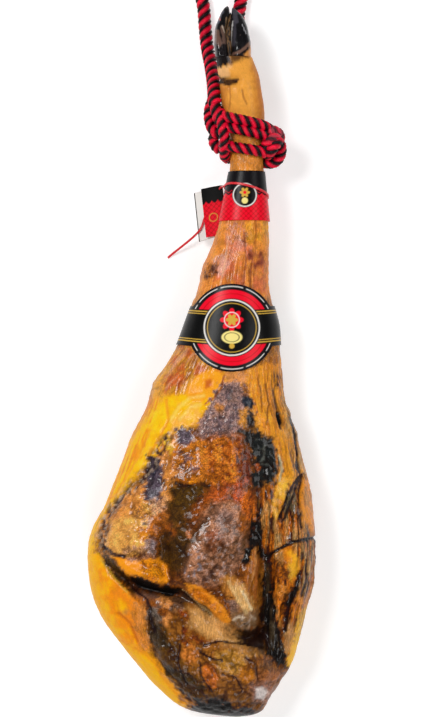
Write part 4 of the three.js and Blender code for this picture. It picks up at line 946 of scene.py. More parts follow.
def plan_places(points):
    """Where points of the ham, in millimetres, lie on the plan as seen from the camera."""
    centre = np.array(CAMERA_PLACE[:2]) / MM
    height = CAMERA_PLACE[2] / MM
    nearer = (height - PLAN_LEVEL) / (height - points[..., 2:])
    seen = centre + (points[..., :2] - centre) * nearer
    return np.stack([(seen[..., 0] - PLAN_ZERO[0]) / PLAN_UNIT,
                     (PLAN_ZERO[1] - seen[..., 1]) / PLAN_UNIT], axis=-1)


def edge_distance(outline, plan):
    """Distance from a closed outline to each place, negative inside it."""
    starts = np.array(outline, float)
    near = np.full(plan.shape[:-1], np.inf)
    inside = np.zeros(plan.shape[:-1], bool)
    for start, end in zip(starts, np.roll(starts, -1, axis=0)):
        side, away = end - start, plan - start
        t = np.clip((away @ side) / (side @ side), 0, 1)
        near = np.minimum(near, np.linalg.norm(away - t[..., None] * side, axis=-1))
        spans = (start[1] > plan[..., 1]) != (end[1] > plan[..., 1])
        rise = side[1] if side[1] else 1e-9
        inside ^= spans & (plan[..., 0] < start[0] + side[0] * (plan[..., 1] - start[1]) / rise)
    return np.where(inside, -near, near)


def line_nearness(points, places, width):
    """The nearest place's own value along a line, and a bell curve of the distance over the width."""
    rows = np.array(points, float)
    near = np.full(places.shape[:-1], np.inf)
    value = np.zeros(places.shape[:-1])
    for start, end in zip(rows[:-1], rows[1:]):
        side, away = end[:2] - start[:2], places - start[:2]
        t = np.clip((away @ side) / (side @ side), 0, 1)
        distance = np.linalg.norm(away - t[..., None] * side, axis=-1)
        closer = distance < near
        near = np.where(closer, distance, near)
        if len(start) > 2:
            value = np.where(closer, start[2] + t * (end[2] - start[2]), value)
    return value, np.exp(-((near / width) ** 2))


def section_angles(over_top, underneath):
    """Angles round the widest section at equal distances over the top, and wider ones beneath."""
    half = SECTION_SAMPLES // 2
    fine = np.linspace(0, 2 * np.pi, SECTION_SAMPLES + 1)
    step = np.linalg.norm(np.diff(skin_point(WIDEST_Y, fine), axis=0), axis=1)
    along = np.concatenate([[0], np.cumsum(step)])
    top = np.interp(np.linspace(0, along[half], over_top, endpoint=False), along, fine)
    low = np.interp(np.linspace(along[half], along[-1], underneath, endpoint=False), along, fine)
    return np.concatenate([top, low])


def ham_stations():
    """Places along the ham: 2.5 mm apart on the shank, 1.75 on the cut face, closer at both ends."""
    foot_rings, shank_rings, face_rings, butt_rings = HAM_RINGS
    shank_start, face_end = FOOT_END_Y - FOOT_ROUNDING, BUTT_FACE_Y + BUTT_ROUNDING
    turn = np.linspace(0, np.pi / 2, foot_rings, endpoint=False)
    foot = FOOT_END_Y - FOOT_ROUNDING * (1 - np.cos(turn))
    shank = np.linspace(shank_start, 0, shank_rings, endpoint=False)
    face = np.linspace(0, face_end, face_rings, endpoint=False)
    butt = face_end - BUTT_ROUNDING * np.sin(np.linspace(0, np.pi / 2, butt_rings))
    return np.concatenate([foot, shank, face, butt])


stations, angles = ham_stations(), section_angles(HAM_TOP_COLUMNS, HAM_LOW_COLUMNS)
bare = skin_point(stations[:, None], angles)
along_y = bare[..., 1]
level = bare[..., 2].copy()
share = np.abs(np.cos(angles)) ** TOP_ROUNDNESS
whole = smooth_step(0, RELIEF_FADE, np.clip(1 - share, 0, 1) ** (1 / TOP_ROUNDNESS)) * (np.sin(angles) >= 0)
for width, *stroke in RELIEF:
    height, bell = line_nearness(stroke, bare[..., :2], width)
    bare[..., 2] += height * bell * whole
relief_height = bare[..., 2] - level
plan = plan_places(bare)

# Patterns from 0 to 1 that break up the patches. Their sizes are in mm, across, along and up.
SLANT = np.array([[0.62, -0.78, 0], [0.78, 0.62, 0], [0, 0, 1]])  # turns them by 51 degrees
ARC_MM = 104.0  # length over the top for one radian of the section
along_skin = np.stack([np.broadcast_to(angles * ARC_MM, along_y.shape), along_y, 0 * along_y], axis=-1)
slanted = bare @ SLANT
tall = cloud(along_skin, (3.2, 26, 9), 3)
slant = cloud(slanted, (24, 3.0, 14), 3)
fine = cloud(bare, 3.6, 2)
slow = cloud(bare, 11, 3)
broad = cloud(bare, 34, 2)
puffs = np.sqrt((2 * cloud(slanted + 13, (10, 19, 13), 3) - 1) ** 2 + 0.004)
small_puffs = np.abs(2 * cloud(bare + 61, 6.0, 2) - 1)
wobble = np.stack([cloud(bare + shift, 7, 2) for shift in (3, 23, 43)], axis=-1) - 0.5
stones = np.minimum(pebbles(bare + 3 * wobble, 14), pebbles(bare + 31, 8.5) * 0.9 + 0.10)
patterns = {
    "even": np.ones(along_y.shape),
    "slow": smooth_step(0.30, 0.62, slow),
    "flecks": smooth_step(0.48, 0.62, fine),
    "grains": smooth_step(0.58, 0.74, fine),
    "pits": smooth_step(0.46, 0.30, fine),
    "tall": smooth_step(0.44, 0.62, tall),
    "tall_gaps": smooth_step(0.48, 0.38, tall),
    "reeds": smooth_step(0.50, 0.40, cloud(along_skin + 17, (2.6, 17, 9), 2)),
    "slant": smooth_step(0.50, 0.66, slant),
    "slant_gaps": smooth_step(0.44, 0.32, slant),
    "cross": smooth_step(0.40, 0.60, np.maximum(tall, cloud(slanted, (3, 16, 10), 2))),
}
wander = np.stack([cloud(bare + shift, 9, 3) for shift in (50, 90)], axis=-1) - 0.5
ripple = np.stack([cloud(bare + shift, 3.5, 2) for shift in (130, 170)], axis=-1) - 0.5
wander = wander + 0.7 * ripple


def toned(paint, colour, share):
    """Paint turned towards a screen colour by a share."""
    return paint + (linear(colour) - paint) * share[..., None]


# Colour and surface of the whole skin: rind, patch over patch, then the lines
RIND_TONE, RIND_DARK, RIND_LIGHT = (206, 132, 54), (168, 98, 40), (228, 158, 76)
EDGE_WANDER = 2.0  # how far in plan units a patch's edge wanders for each step of its raggedness
EDGE_FRINGE = 2.4  # and how far its fine fringe reaches
paint = np.broadcast_to(linear(RIND_TONE), bare.shape)
paint = toned(paint, RIND_DARK, smooth_step(0.42, 0.62, slow) * 0.8)
paint = toned(paint, RIND_LIGHT, smooth_step(0.50, 0.70, broad) * 0.7)
surface = np.broadcast_to(np.array(SURFACES["rind"]), along_y.shape + (len(SURFACES["rind"]),))
rind_paint, rind_surface = paint, surface
for colour, kind, pattern, soft, ragged, cover, outline in PATCHES:
    distance = edge_distance(outline, plan + wander * ragged * EDGE_WANDER)
    mask = smooth_step(soft, -soft, distance + (fine - 0.5) * ragged * EDGE_FRINGE) * cover
    surface = surface + (np.array(SURFACES[kind]) - surface) * mask[..., None]
    paint = toned(paint, colour, mask * patterns[pattern])
line_height = np.zeros(along_y.shape)
for colour, width, cover, height, points in LINES:
    bell = line_nearness(points, plan + wander * min(3.0, 1.1 * width), width)[1]
    line_height += bell * height
    paint = toned(paint, colour, smooth_step(0.25, 0.75, bell) * cover)

# The speckled margin of grey mould between the fat and the cut face, with pale grains in it
MARGIN = [(167, 436), (158, 452), (149, 466), (141, 479), (131, 489), (121, 498), (112, 508), (106, 518),
          (103, 532), (103, 547)]
MARGIN_WIDTH, MARGIN_WANDER = 5.6, 5.0
MARGIN_DARK, MARGIN_PALE = (58, 44, 52), (222, 190, 160)
near_margin = line_nearness(MARGIN, plan + wander * MARGIN_WANDER, MARGIN_WIDTH)[1]
dark_grains = near_margin * smooth_step(0.42, 0.52, cloud(bare + 7, 5.0, 2))
pale_grains = near_margin * smooth_step(0.58, 0.70, cloud(bare + 19, 3.0, 1))
paint = toned(paint, MARGIN_DARK, dark_grains * 0.95)
paint = toned(paint, MARGIN_PALE, pale_grains * 0.85)
line_height -= dark_grains * 1.2 - pale_grains * 0.6

# Below the widest line the skin is rind all round. It starts a little higher at the butt's end.
RIND_WANDER, RIND_CLIMB, RIND_EDGE = 10, 8, (6, 26)
face_end = BUTT_FACE_Y + BUTT_ROUNDING
below_waist = waist(along_y) - bare[..., 2] + RIND_WANDER * (broad - 0.5)
below_waist = below_waist + RIND_CLIMB * smooth_step(face_end, face_end - 16, along_y)
to_rind = smooth_step(*RIND_EDGE, below_waist)[..., None]
paint = paint + (rind_paint - paint) * to_rind
surface = surface + (rind_surface - surface) * to_rind
gloss, puff, lump, streak, grain, mottle, relief_shading = np.moveaxis(surface, -1, 0)

# The skin swells outward in mm: rounded puffs, crumbs with gaps between them, streaks and grain
PUFF_MIDDLE = 0.28
PUFF_RISE, SMALL_PUFF_RISE, STREAK_RISE, GRAIN_RISE, BROAD_RISE = 2.4, 1.3, 1.2, 2.0, 1.6
END_QUIET = 14  # the swelling fades out over this length at both ends
lump_share = np.clip(lump / 3.0, 0, 1)
streak_share = np.clip(streak / 2.6, 0, 1)
puff_height = PUFF_RISE * (puffs - PUFF_MIDDLE) + SMALL_PUFF_RISE * (small_puffs - PUFF_MIDDLE)
lump_height = 0.5 - np.clip(stones, 0, 1.0) ** 1.5
broad_height = BROAD_RISE * (broad - 0.5)
swell = (puff * puff_height + lump * lump_height + streak * (tall - 0.5) * STREAK_RISE
         + grain * (fine - 0.5) * GRAIN_RISE + broad_height + line_height)
quiet = smooth_step(0, END_QUIET, np.minimum(FOOT_END_Y - along_y, along_y - BUTT_FACE_Y))
onward = np.gradient(bare, axis=0)
wrap = np.roll(bare, -1, axis=1) - np.roll(bare, 1, axis=1)
normal = np.cross(onward, wrap)
normal /= np.maximum(np.linalg.norm(normal, axis=-1, keepdims=True), 1e-9)
outward = np.sign(np.sum(normal * (bare - bare.mean(axis=1, keepdims=True)), axis=(1, 2)))[:, None, None]
skin = bare + normal * outward * (swell * quiet)[..., None]
skin[..., 2] = np.maximum(skin[..., 2], 0.0)

# Painted shade darkens creases, gaps between lumps, folds and hollows, and a painted highlight lightens the
# crests
CREASE_SHADE = (30, 17, 12)
DARKEST, PAINT_GAIN, PAINT_LIMITS = 0.93, 1.10, (0.002, 0.95)
GLOSS_VEIL = 0.034  # what full gloss adds to every colour
HOLLOW_START_Y = 60  # hollows nearer the foot than this get no painted shade
wrinkles = np.maximum(smooth_step(0.14, 0.07, puffs), 0.7 * smooth_step(0.12, 0.02, small_puffs))
crease_shade = wrinkles * (1 - streak_share)
gaps = smooth_step(0.58, 0.76, stones) * lump_share
folds = smooth_step(0.40, 0.26, tall) * streak_share
hollow = smooth_step(-3.5, -14, relief_height) * (along_y < HOLLOW_START_Y) * 0.9
low = 0.75 * smooth_step(0.0, -1.5, swell - broad_height)
# how much painted shade each place gets
dark = np.clip(relief_shading * np.max([crease_shade, gaps, folds, hollow, low], axis=0), 0, DARKEST)
# painted highlight on the crests of puffs and lumps
painted_relief_light = relief_shading * (smooth_step(0.25, 0.6, puffs) * 0.25 + smooth_step(0.40, 0.15, stones) * lump_share * 0.35)
mottled = 1 + mottle * ((fine - 0.5) * 1.3 + (slow - 0.5) * 0.9)
paint = toned(paint * ((1 + painted_relief_light) * mottled)[..., None], CREASE_SHADE, dark)
paint = np.clip(paint * PAINT_GAIN - GLOSS_VEIL * gloss[..., None], *PAINT_LIMITS)
ham = grid_piece("ham_skin", skin, caps=(skin[0].mean(0), BUTT_END),
                 attributes={"paint": paint, "finish": np.stack([gloss, mottle, streak_share], axis=-1)})


def ham_material():
    """Painted colour with painted shade in the bump's fine creases and a few specks, and wet gloss where it
    is meat.
    """
    wire, finish = new_material("cured_ham", {"Specular IOR Level": 0.07, "Coat Roughness": 0.15})
    places, paint, held = wire.places(), wire.attribute("paint"), wire.attribute("finish")
    gloss, mottle, streak = (held.node("SeparateColor", {}, {0: held}, out=number) for number in range(3))
    wrinkled = wire.noise(places, 330.0, 5.0)
    drawn = wire.noise(wire.stretched(places, (1.0, 0.12, 0.5)), 520.0, 3.0)
    wave = (wrinkled + (drawn - wrinkled) * streak) * 2 - 1
    puffed = wave.math("ABSOLUTE", wave, 0)
    # painted shade along the valleys of the bump
    crease_shade = (1 - puffed.between(0.03, 0.15)) * mottle * 1.2
    fine = wire.noise(places, 640.0, 3.0)
    dark = (1 - fine.between(0.36, 0.52)) * mottle * 0.55
    light = fine.between(0.60, 0.76) * mottle * 0.22
    colour = (crease_shade * 0.85).mix(paint, shade((24, 12, 7)))
    colour = dark.mix(colour, shade((30, 15, 9)))
    colour = light.mix(colour, shade((205, 158, 104)))
    pores = wire.noise(places, 1500.0, 2.0)
    height = puffed * (0.35 + mottle) * 1.6 + fine * (0.3 + mottle * 0.5) + pores * 0.15
    rough = 0.52 - gloss * 0.30 + (pores - 0.5) * 0.2
    bump = height.bump(0.85, 0.0016)
    return finish(Base_Color=colour, Roughness=rough, Coat_Weight=gloss * 0.7, Normal=bump)


ham.data.materials.append(ham_material())
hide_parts("ham")

# Hoof: two toes of horn
# Two polished black horn claws over the end of the foot, worn at the tips. The left one is scuffed to a
# pinkish brown. Dried tan tissue fills the cleft between them.
# Each toe's outlines: y, left, right, underside and top
TOES = {
    "claw_left": [(350, 15.5, 33, 42, 80), (366, 14.5, 31, 42, 78), (382, 15.5, 28.5, 44, 74),
                  (394, 18.6, 31, 47, 69), (404, 23.5, 33, 51, 64), (409, 27, 32, 54, 60)],
    "claw_right": [(350, 34, 58.5, 41, 81), (366, 33.5, 58, 41, 79), (382, 32.8, 55, 43, 74),
                   (394, 33.4, 51, 46, 68), (402, 34.3, 45.5, 50, 63), (407, 35, 40, 53, 59)],
}
TOE_TIPS = {"claw_left": (30, 411, 57), "claw_right": (36.3, 409.5, 56)}
NODE_GAP = 0.3  # between two pieces that touch
TOE_RINGS = 90
TOE_COLUMNS = 64
TOE_SQUARENESS = 0.07
TOE_BLUNTNESS = 0.9
GROWTH_RING_MM, CHIP_MM = 0.35, 1.1  # relief of the growth rings and of the worn chips
TOE_PLAIN_END = 4  # both ends are smooth over this length
HORN_BLACK = (12, 9, 12)
# Marks on each toe: colour, reach across and along in mm, cover, and the line of its middle
TOE_MARKS = {
    "claw_left": [
        # painted sheen on the left claw's tip
        ((92, 92, 108), 2.2, 0.55, [(24, 404), (21, 396), (19, 390)]),
        ((214, 130, 120), 0.9, 0.7, [(20.6, 396), (21.6, 393)]),
        ((128, 94, 80), 3.6, 0.6, [(18, 379), (18.5, 370), (21, 364)]),
        ((112, 84, 72), 3.0, 0.7, [(24, 384), (26, 376), (27, 366)]),
        ((196, 178, 158), 0.7, 0.85, [(23.8, 386), (27, 378)]),
        ((150, 120, 90), 1.2, 0.6, [(29, 396), (28.5, 386), (28, 376)]),
        ((20, 14, 16), 3.2, 0.9, [(26, 362), (22, 355), (28, 352)]),
    ],
    "claw_right": [
        # painted sheen on the right claw's tip
        ((84, 80, 90), 2.8, 0.5, [(37, 407), (39.5, 400), (41, 392)]),
        ((70, 66, 76), 2.4, 0.5, [(37.5, 396), (38.5, 380), (37, 364)]),
        ((204, 200, 196), 0.65, 0.8, [(36.2, 392), (34.8, 377), (34.2, 360), (34.4, 353)]),
        # painted highlight on the right claw
        ((168, 166, 170), 0.6, 0.75, [(47, 388), (51.5, 377)]),
        ((200, 132, 60), 5.0, 1.0, [(53, 351), (57, 354), (60, 361)]),
        ((118, 86, 72), 1.8, 0.85, [(34, 352.5), (43, 354.5), (50, 359), (57.5, 367)]),
    ],
}
CLEFT_ROWS = [(351, 26.5, 37, 46, 75), (366, 26.5, 36, 48, 72), (380, 27, 35.5, 50, 68),
              (392, 29.5, 35.6, 52, 63.5), (400, 31.6, 35.4, 54, 60.5)]
CLEFT_TIP = (33.6, 404, 57)
CLEFT_ROUGHNESS = 1.4  # its relief beside the horn's


def toe_grid(rows, tip, rough=1.0):
    """Oval rings between smooth outlines, closing to the tip, with growth rings across the horn."""
    base = rows[0][0] + NODE_GAP
    reach = tip[1] - base - NODE_GAP
    y = (base + reach * np.sin(np.linspace(0, np.pi / 2, TOE_RINGS)) ** TOE_BLUNTNESS)[:, None]
    rows = [(tip[1], tip[0], tip[0], tip[2], tip[2]), *rows[::-1]]
    left, right, low, high = (profile([(row[0], row[k]) for row in rows])(y) for k in range(1, 5))
    around = 2 * np.pi * np.arange(TOE_COLUMNS) / TOE_COLUMNS
    square = 1 - TOE_SQUARENESS * np.cos(4 * around)
    x = (left + right) / 2 + (right - left) / 2 * np.cos(around) * square
    z = (low + high) / 2 + (high - low) / 2 * np.sin(around) * square
    grid = np.stack([x, np.broadcast_to(y, x.shape), z], axis=-1)
    rings = cloud(grid, (30, 2.6, 30), 2) - 0.5
    chips = cloud(grid, (7, 9, 7), 2) - 0.5
    outward = np.stack([np.cos(around), 0 * around, np.sin(around)], axis=-1)
    fade = smooth_step(0, TOE_PLAIN_END, np.minimum(y - base, tip[1] - y))
    return grid + outward * ((rings * GROWTH_RING_MM + chips * CHIP_MM) * rough * fade)[..., None]


def toe_colour(name, grid):
    """Black horn with its marks of wear and of painted sheen, broken up a little, on the side that faces up.
    """
    uneven = cloud(grid, (3, 5, 3), 3)
    paint = linear(HORN_BLACK) * (0.5 + uneven)[..., None]
    upper = smooth_step(54, 62, grid[..., 2])
    for colour, reach, cover, middle in TOE_MARKS[name]:
        bell = line_nearness(middle, grid[..., :2], reach)[1]
        paint = toned(paint, colour, smooth_step(0.25, 0.75, bell + 0.9 * (uneven - 0.5)) * cover * upper)
    return paint


def horn_material():
    """Polished horn: fine streaks along the toe in colour and bump under a clear gloss."""
    wire, finish = new_material("hoof_horn", {"Coat Roughness": 0.08, "Coat Weight": 0.4,
                                              "Specular IOR Level": 0.12})
    places = wire.places()
    streaks = wire.noise(wire.stretched(places, (1.0, 0.12, 1.0)), 900.0, 3.0)
    pits = wire.noise(places, 500.0, 2.0)
    colour = (streaks.between(0.52, 0.80) * 0.04).mix(wire.attribute("horn"), shade((110, 104, 108)))
    bump = (streaks + pits * 0.5).bump(0.35, 0.0007)
    return finish(Base_Color=colour, Roughness=0.20 + pits * 0.2, Normal=bump)


horn_finish = horn_material()
for name in TOES:
    grid = toe_grid(TOES[name], TOE_TIPS[name])
    toe = grid_piece(name + "_horn", grid, caps=(grid[0].mean(0), TOE_TIPS[name]),
                     attributes={"horn": toe_colour(name, grid)})
    toe.data.materials.append(horn_finish)
    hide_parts(name)


def cleft_material():
    """Dried tissue: olive tan and brown in drawn fibres, half matt."""
    wire, finish = new_material("cleft_tissue", {"Specular IOR Level": 0.35, "Roughness": 0.5})
    fibres = wire.noise(wire.stretched(wire.places(), (1.0, 0.2, 0.6)), 600.0, 3.0)
    colour = fibres.between(0.42, 0.68).mix(shade((26, 16, 11)), shade((128, 92, 54)))
    return finish(Base_Color=colour, Normal=fibres.bump(0.6, 0.0010))


cleft_grid = toe_grid(CLEFT_ROWS, CLEFT_TIP, CLEFT_ROUGHNESS)
cleft = grid_piece("hoof_cleft_tissue", cleft_grid, caps=(cleft_grid[0].mean(0), CLEFT_TIP))
cleft.data.materials.append(cleft_material())
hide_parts("claw_left")

# Neck band
# A printed card band round the shank, black above and crimson below a scalloped line, with a small
# round medallion in front. It is cut straight and glued behind.
CARD = 0.8
NECK_TOP_Y, NECK_LOW_Y = 218, 161
NECK_CLEARANCE = 0.8
NECK_ROWS, NECK_COLUMNS = 72, 220
NECK_SCALLOP = 7.0  # width of one scallop
NECK_LATTICE = 0.55  # radians a mm, so its lines cross every 5.7 mm
MEDAL_CENTRE = (50.0, 190.0)
MEDAL_RADIUS = 14.5
MEDAL_LOWEST_Z = 48  # it is printed only on the front, above this height
CARD_BULGE = 0.004  # a card's edge stands out by this share of its height, as it is cut
CARD_BLACK = (15, 12, 16)
CARD_RED = (238, 4, 54)
CARD_DEEP_RED = (178, 4, 36)
CARD_GOLD = (214, 172, 74)
CARD_WHITE = (236, 232, 226)
CARD_CREAM = (244, 226, 140)
CARD_VEIL = 0.016  # what the card's own shine adds to every ink
DARKEST_INK = 0.002


def neck_point(angle, share, offset):
    """A straight cone between the skin's sections at the band's two edges, grown by an offset."""
    grow = NECK_CLEARANCE + offset
    top, low = skin_point(NECK_TOP_Y, angle, grow), skin_point(NECK_LOW_Y, angle, grow)
    return top + (low - top) * share[..., None]


def card_section(rows):
    """Shares down a card and offsets through it, down its outer face and back up its inner one."""
    down = np.linspace(0, 1, rows)
    edge = np.full(2, 1 + CARD_BULGE)
    share = np.concatenate([down, edge, down[::-1], 1 - edge])
    offset = np.concatenate([np.ones(rows), [0.65, 0.35], np.zeros(rows), [0.35, 0.65]]) * CARD
    return share[:, None], offset[:, None]


def disc(places, centre, radius, soft=0.5):
    """1 inside a circle, 0 outside it."""
    away = np.linalg.norm(places - np.array(centre, float), axis=-1)
    return smooth_step(radius + soft, radius - soft, away)


def ring(places, centre, radius, width, soft=0.45):
    """1 on a circle's line of that width, 0 off it."""
    away = np.linalg.norm(places - np.array(centre, float), axis=-1)
    return smooth_step(width / 2 + soft, width / 2 - soft, np.abs(away - radius))


def rosette(places, centre, radius, petals, depth=0.45, soft=0.5):
    """1 inside a flower whose edge is radius (1 - depth + depth |cos(petals a / 2)|)."""
    away = places - np.array(centre, float)
    turn = np.arctan2(away[..., 1], away[..., 0])
    edge = radius * (1 - depth + depth * np.abs(np.cos(petals * turn / 2)))
    return smooth_step(soft, -soft, np.linalg.norm(away, axis=-1) - edge)


def lattice_lines(across, down, pace):
    """1 on crossed slanting lines, 0 between them. The pace is in radians a mm."""
    crossed = np.abs(np.sin((across + down) * pace)) * np.abs(np.sin((across - down) * pace))
    return smooth_step(0.30, 0.12, crossed)


def plain_card(colour, shape):
    """A card of one colour."""
    return np.broadcast_to(linear(colour), (*shape, 3))


def printed(card, inks):
    """Inks laid over a card one after another. Each is a colour and how much of it lies where."""
    for colour, cover in inks:
        card = card + (np.maximum(linear(colour) - CARD_VEIL, DARKEST_INK) - card) * cover[..., None]
    return card


def neck_print(places, share):
    """Black over crimson, parted by scallops and a thin line, and a flower on a medallion in front.
    Radii and widths are in mm, the scallops' place is a share of the band's height."""
    x, y = places[..., 0], places[..., 1]
    scallop = 0.44 + 0.045 * np.abs(np.sin(np.pi * x / NECK_SCALLOP))
    red = smooth_step(scallop - 0.006, scallop + 0.006, share)
    front = places[..., 2] > MEDAL_LOWEST_Z
    flat = np.stack([x - MEDAL_CENTRE[0], y - MEDAL_CENTRE[1]], axis=-1)
    return printed(plain_card(CARD_BLACK, x.shape), [
        (CARD_RED, red),
        (CARD_DEEP_RED, red * lattice_lines(x, y, NECK_LATTICE) * 0.8),
        (CARD_RED, smooth_step(0.008, 0.003, np.abs(share - scallop + 0.05))),
        (CARD_BLACK, disc(flat, (0, 0), MEDAL_RADIUS) * front),
        (CARD_WHITE, ring(flat, (0, 0), 13.2, 1.3) * front),
        (CARD_GOLD, rosette(flat, (0, 3.0), 6.0, 6) * front),
        (CARD_CREAM, disc(flat, (0, -6.5), 3.6) * front),
        (CARD_RED, disc(flat, (0, 3.0), 1.9) * front),
    ])


def card_material():
    """Coated card: printed colour with faint fibre, satin, and scuffed a little pale."""
    wire, finish = new_material("printed_card", {"Specular IOR Level": 0.12})
    fibre = wire.noise(wire.places(), 900.0, 3.0)
    scuff = wire.noise(wire.places(), 130.0, 4.0)
    colour = (scuff.between(0.62, 0.88) * 0.03).mix(wire.attribute("ink"), shade((196, 186, 180)))
    bump = (fibre + scuff).bump(0.25, 0.0003)
    return finish(Base_Color=colour, Roughness=0.24 + fibre * 0.14, Normal=bump)


card_finish = card_material()
neck_angles = 2 * np.pi * np.arange(NECK_COLUMNS) / NECK_COLUMNS
neck_share, neck_offset = card_section(NECK_ROWS)
neck_grid = neck_point(neck_angles, neck_share, neck_offset)
neck_band = grid_piece("neck_band_card", neck_grid, closed_rows=True,
                       attributes={"ink": neck_print(neck_grid, neck_share)})
neck_band.data.materials.append(card_finish)
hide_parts("neck_band")

# Label band
# A round printed label on a card strap that goes round the leg. The print is plain rings, lines and a
# gold flower on black and crimson.
LABEL_CENTRE = (35, 37)
LABEL_RADIUS = 50
LABEL_DASHES = 10  # in the white line round its edge
LABEL_CLEARANCE = 0.9
STRAP_HALF_HEIGHT = 23
STRAP_RISE = 4
STRAP_RISE_REACH = 60
LABEL_ROWS, LABEL_FRONT_COLUMNS, LABEL_BACK_COLUMNS = 132, 230, 60
EDGE_PASSES = 6
FLOWER_CENTRE = (0, 9)  # from the label's middle, like the oval's
OVAL_CENTRE = (0, -11)
OVAL_SHAPE = (0.62, 1)  # its height as a share of its width, and 1


def label_middle(x):
    """The strap's middle height y: it climbs 4 mm towards the sides."""
    return LABEL_CENTRE[1] + STRAP_RISE * np.minimum(1, ((x - LABEL_CENTRE[0]) / STRAP_RISE_REACH) ** 2)


def label_point(angle, share, offset):
    """Between the label's upper and lower edge: the circle in front where it is taller than the strap.
    An edge's x and y depend on each other, and settle in a few passes."""
    front = np.sin(angle) > 0
    edges = []
    for side in (1, -1):
        x = skin_point(LABEL_CENTRE[1], angle)[..., 0]
        for _ in range(EDGE_PASSES):
            round_half = np.sqrt(np.clip(LABEL_RADIUS**2 - (x - LABEL_CENTRE[0]) ** 2, 0, None)) * front
            strap_reach = side * (label_middle(x) - LABEL_CENTRE[1]) + STRAP_HALF_HEIGHT
            y = LABEL_CENTRE[1] + side * np.maximum(strap_reach, round_half)
            x = 0.5 * x + 0.5 * skin_point(y, angle)[..., 0]
        edges.append(y)
    high, low = edges
    return skin_point(high + (low - high) * share, angle, LABEL_CLEARANCE + offset)


def label_print(places, front):
    """Crimson in rings of white dashes and gold, gold lines along the strap, a flower and an oval.
    Radii, widths and heights are in mm from the label's middle."""
    x, y = places[..., 0] - LABEL_CENTRE[0], places[..., 1] - LABEL_CENTRE[1]
    flat = np.stack([x, y], axis=-1)
    oval = flat * OVAL_SHAPE
    dashes = smooth_step(0.1, 0.3, np.abs(np.sin(LABEL_DASHES / 2 * np.arctan2(y, x))))
    rise = np.abs(places[..., 1] - label_middle(places[..., 0]))
    return printed(plain_card(CARD_BLACK, x.shape), [
        (CARD_RED, disc(flat, (0, 0), 43.5) * front),
        (CARD_DEEP_RED, ring(flat, (0, 0), 39, 1.0) * front * 0.7),
        (CARD_WHITE, ring(flat, (0, 0), 47.4, 0.9) * front * dashes),
        (CARD_BLACK, smooth_step(20.5, 19.5, rise)),
        (CARD_GOLD, smooth_step(0.9, 0.4, np.abs(rise - 17.6))),
        (CARD_GOLD, smooth_step(0.7, 0.25, np.abs(rise - 14.9))),
        (CARD_BLACK, disc(flat, (0, 0), 33.5) * front),
        (CARD_WHITE, ring(flat, (0, 0), 31.6, 1.6) * front),
        (CARD_GOLD, ring(flat, (0, 0), 28.0, 0.8) * front),
        (CARD_RED, rosette(flat, FLOWER_CENTRE, 13.5, 8, 0.35) * front),
        (CARD_WHITE, ring(flat, FLOWER_CENTRE, 8.6, 1.0) * front),
        (CARD_GOLD, rosette(flat, FLOWER_CENTRE, 7.2, 6) * front),
        (CARD_CREAM, disc(oval, OVAL_CENTRE, 7.4) * front),
        (CARD_BLACK, ring(oval, OVAL_CENTRE, 5.2, 0.7) * front),
        (CARD_GOLD, disc(flat, (0, -21.0), 3.0) * front),
    ])


label_angles = np.concatenate([np.linspace(0, np.pi, LABEL_FRONT_COLUMNS, endpoint=False),
                               np.linspace(np.pi, 2 * np.pi, LABEL_BACK_COLUMNS, endpoint=False)])
label_grid = label_point(label_angles, *card_section(LABEL_ROWS))
label_band = grid_piece("label_band_card", label_grid, closed_rows=True,
                        attributes={"ink": label_print(label_grid, np.sin(label_angles) > 0)})
label_band.data.materials.append(card_finish)
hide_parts("label_band")

# Tag
# A folded card tag that hangs from the seal, its cover a little open. The cover is black over crimson,
# outside and over the bowed middle of its inside. The back leaf is white, with a black edge.
TAG_CORNER = np.array((25, 205.5, 18.0))
TAG_ACROSS = np.array((-0.88, -0.22, -0.42)) / np.linalg.norm((-0.88, -0.22, -0.42))
TAG_LEAN = np.array((-0.46, 0.21, 0.86))
TAG_OUT = TAG_LEAN - TAG_ACROSS * np.dot(TAG_LEAN, TAG_ACROSS)
TAG_OUT = TAG_OUT / np.linalg.norm(TAG_OUT)
TAG_DOWN = np.cross(TAG_OUT, TAG_ACROSS)
TAG_HEIGHT = 61
LEAF_BOW = 0.8
LEAF_ROWS, LEAF_COLUMNS = 78, 46
TAG_SCALLOP = 7.2  # width of one scallop
TAG_LATTICE = 0.5  # radians a mm, so its lines cross every 6.3 mm
# Each leaf: width across, opening in degrees, and where its inner face starts, across and out
LEAVES = {
    "tag_back": (38.5, 0.0, (0.0, 0.0)),
    "tag_cover": (26.0, 13.0, (0.3, 0.85)),
}


def on_tag(across, down, out):
    """A point in the tag's own directions: across a leaf, down it, and out from it."""
    across, down, out = (np.asarray(value)[..., None] for value in (across, down, out))
    return TAG_CORNER + across * TAG_ACROSS + down * TAG_DOWN + out * TAG_OUT


def leaf_grid(width, opening, start):
    """A thin card: its outline goes out along one face and back along the other, bowed outward. Gives
    the grid, the distances along and down it, and where its print lies."""
    there = np.linspace(0, 1, LEAF_COLUMNS)
    along = np.concatenate([there, [1 + CARD_BULGE], there[::-1], [-CARD_BULGE]]) * width
    thick = np.concatenate([np.full(LEAF_COLUMNS, CARD), [CARD / 2], np.zeros(LEAF_COLUMNS), [CARD / 2]])
    thick = thick + LEAF_BOW * np.sin(np.pi * np.clip(along / width, 0, 1))
    turn = np.radians(opening)
    across = start[0] + along * np.cos(turn) - thick * np.sin(turn)
    out = start[1] + along * np.sin(turn) + thick * np.cos(turn)
    down = np.linspace(0, TAG_HEIGHT, LEAF_ROWS)[:, None]
    across, out, down, along, inked = np.broadcast_arrays(across, out, down, along, thick > CARD * 0.6)
    return on_tag(across, down, out), along, down, inked


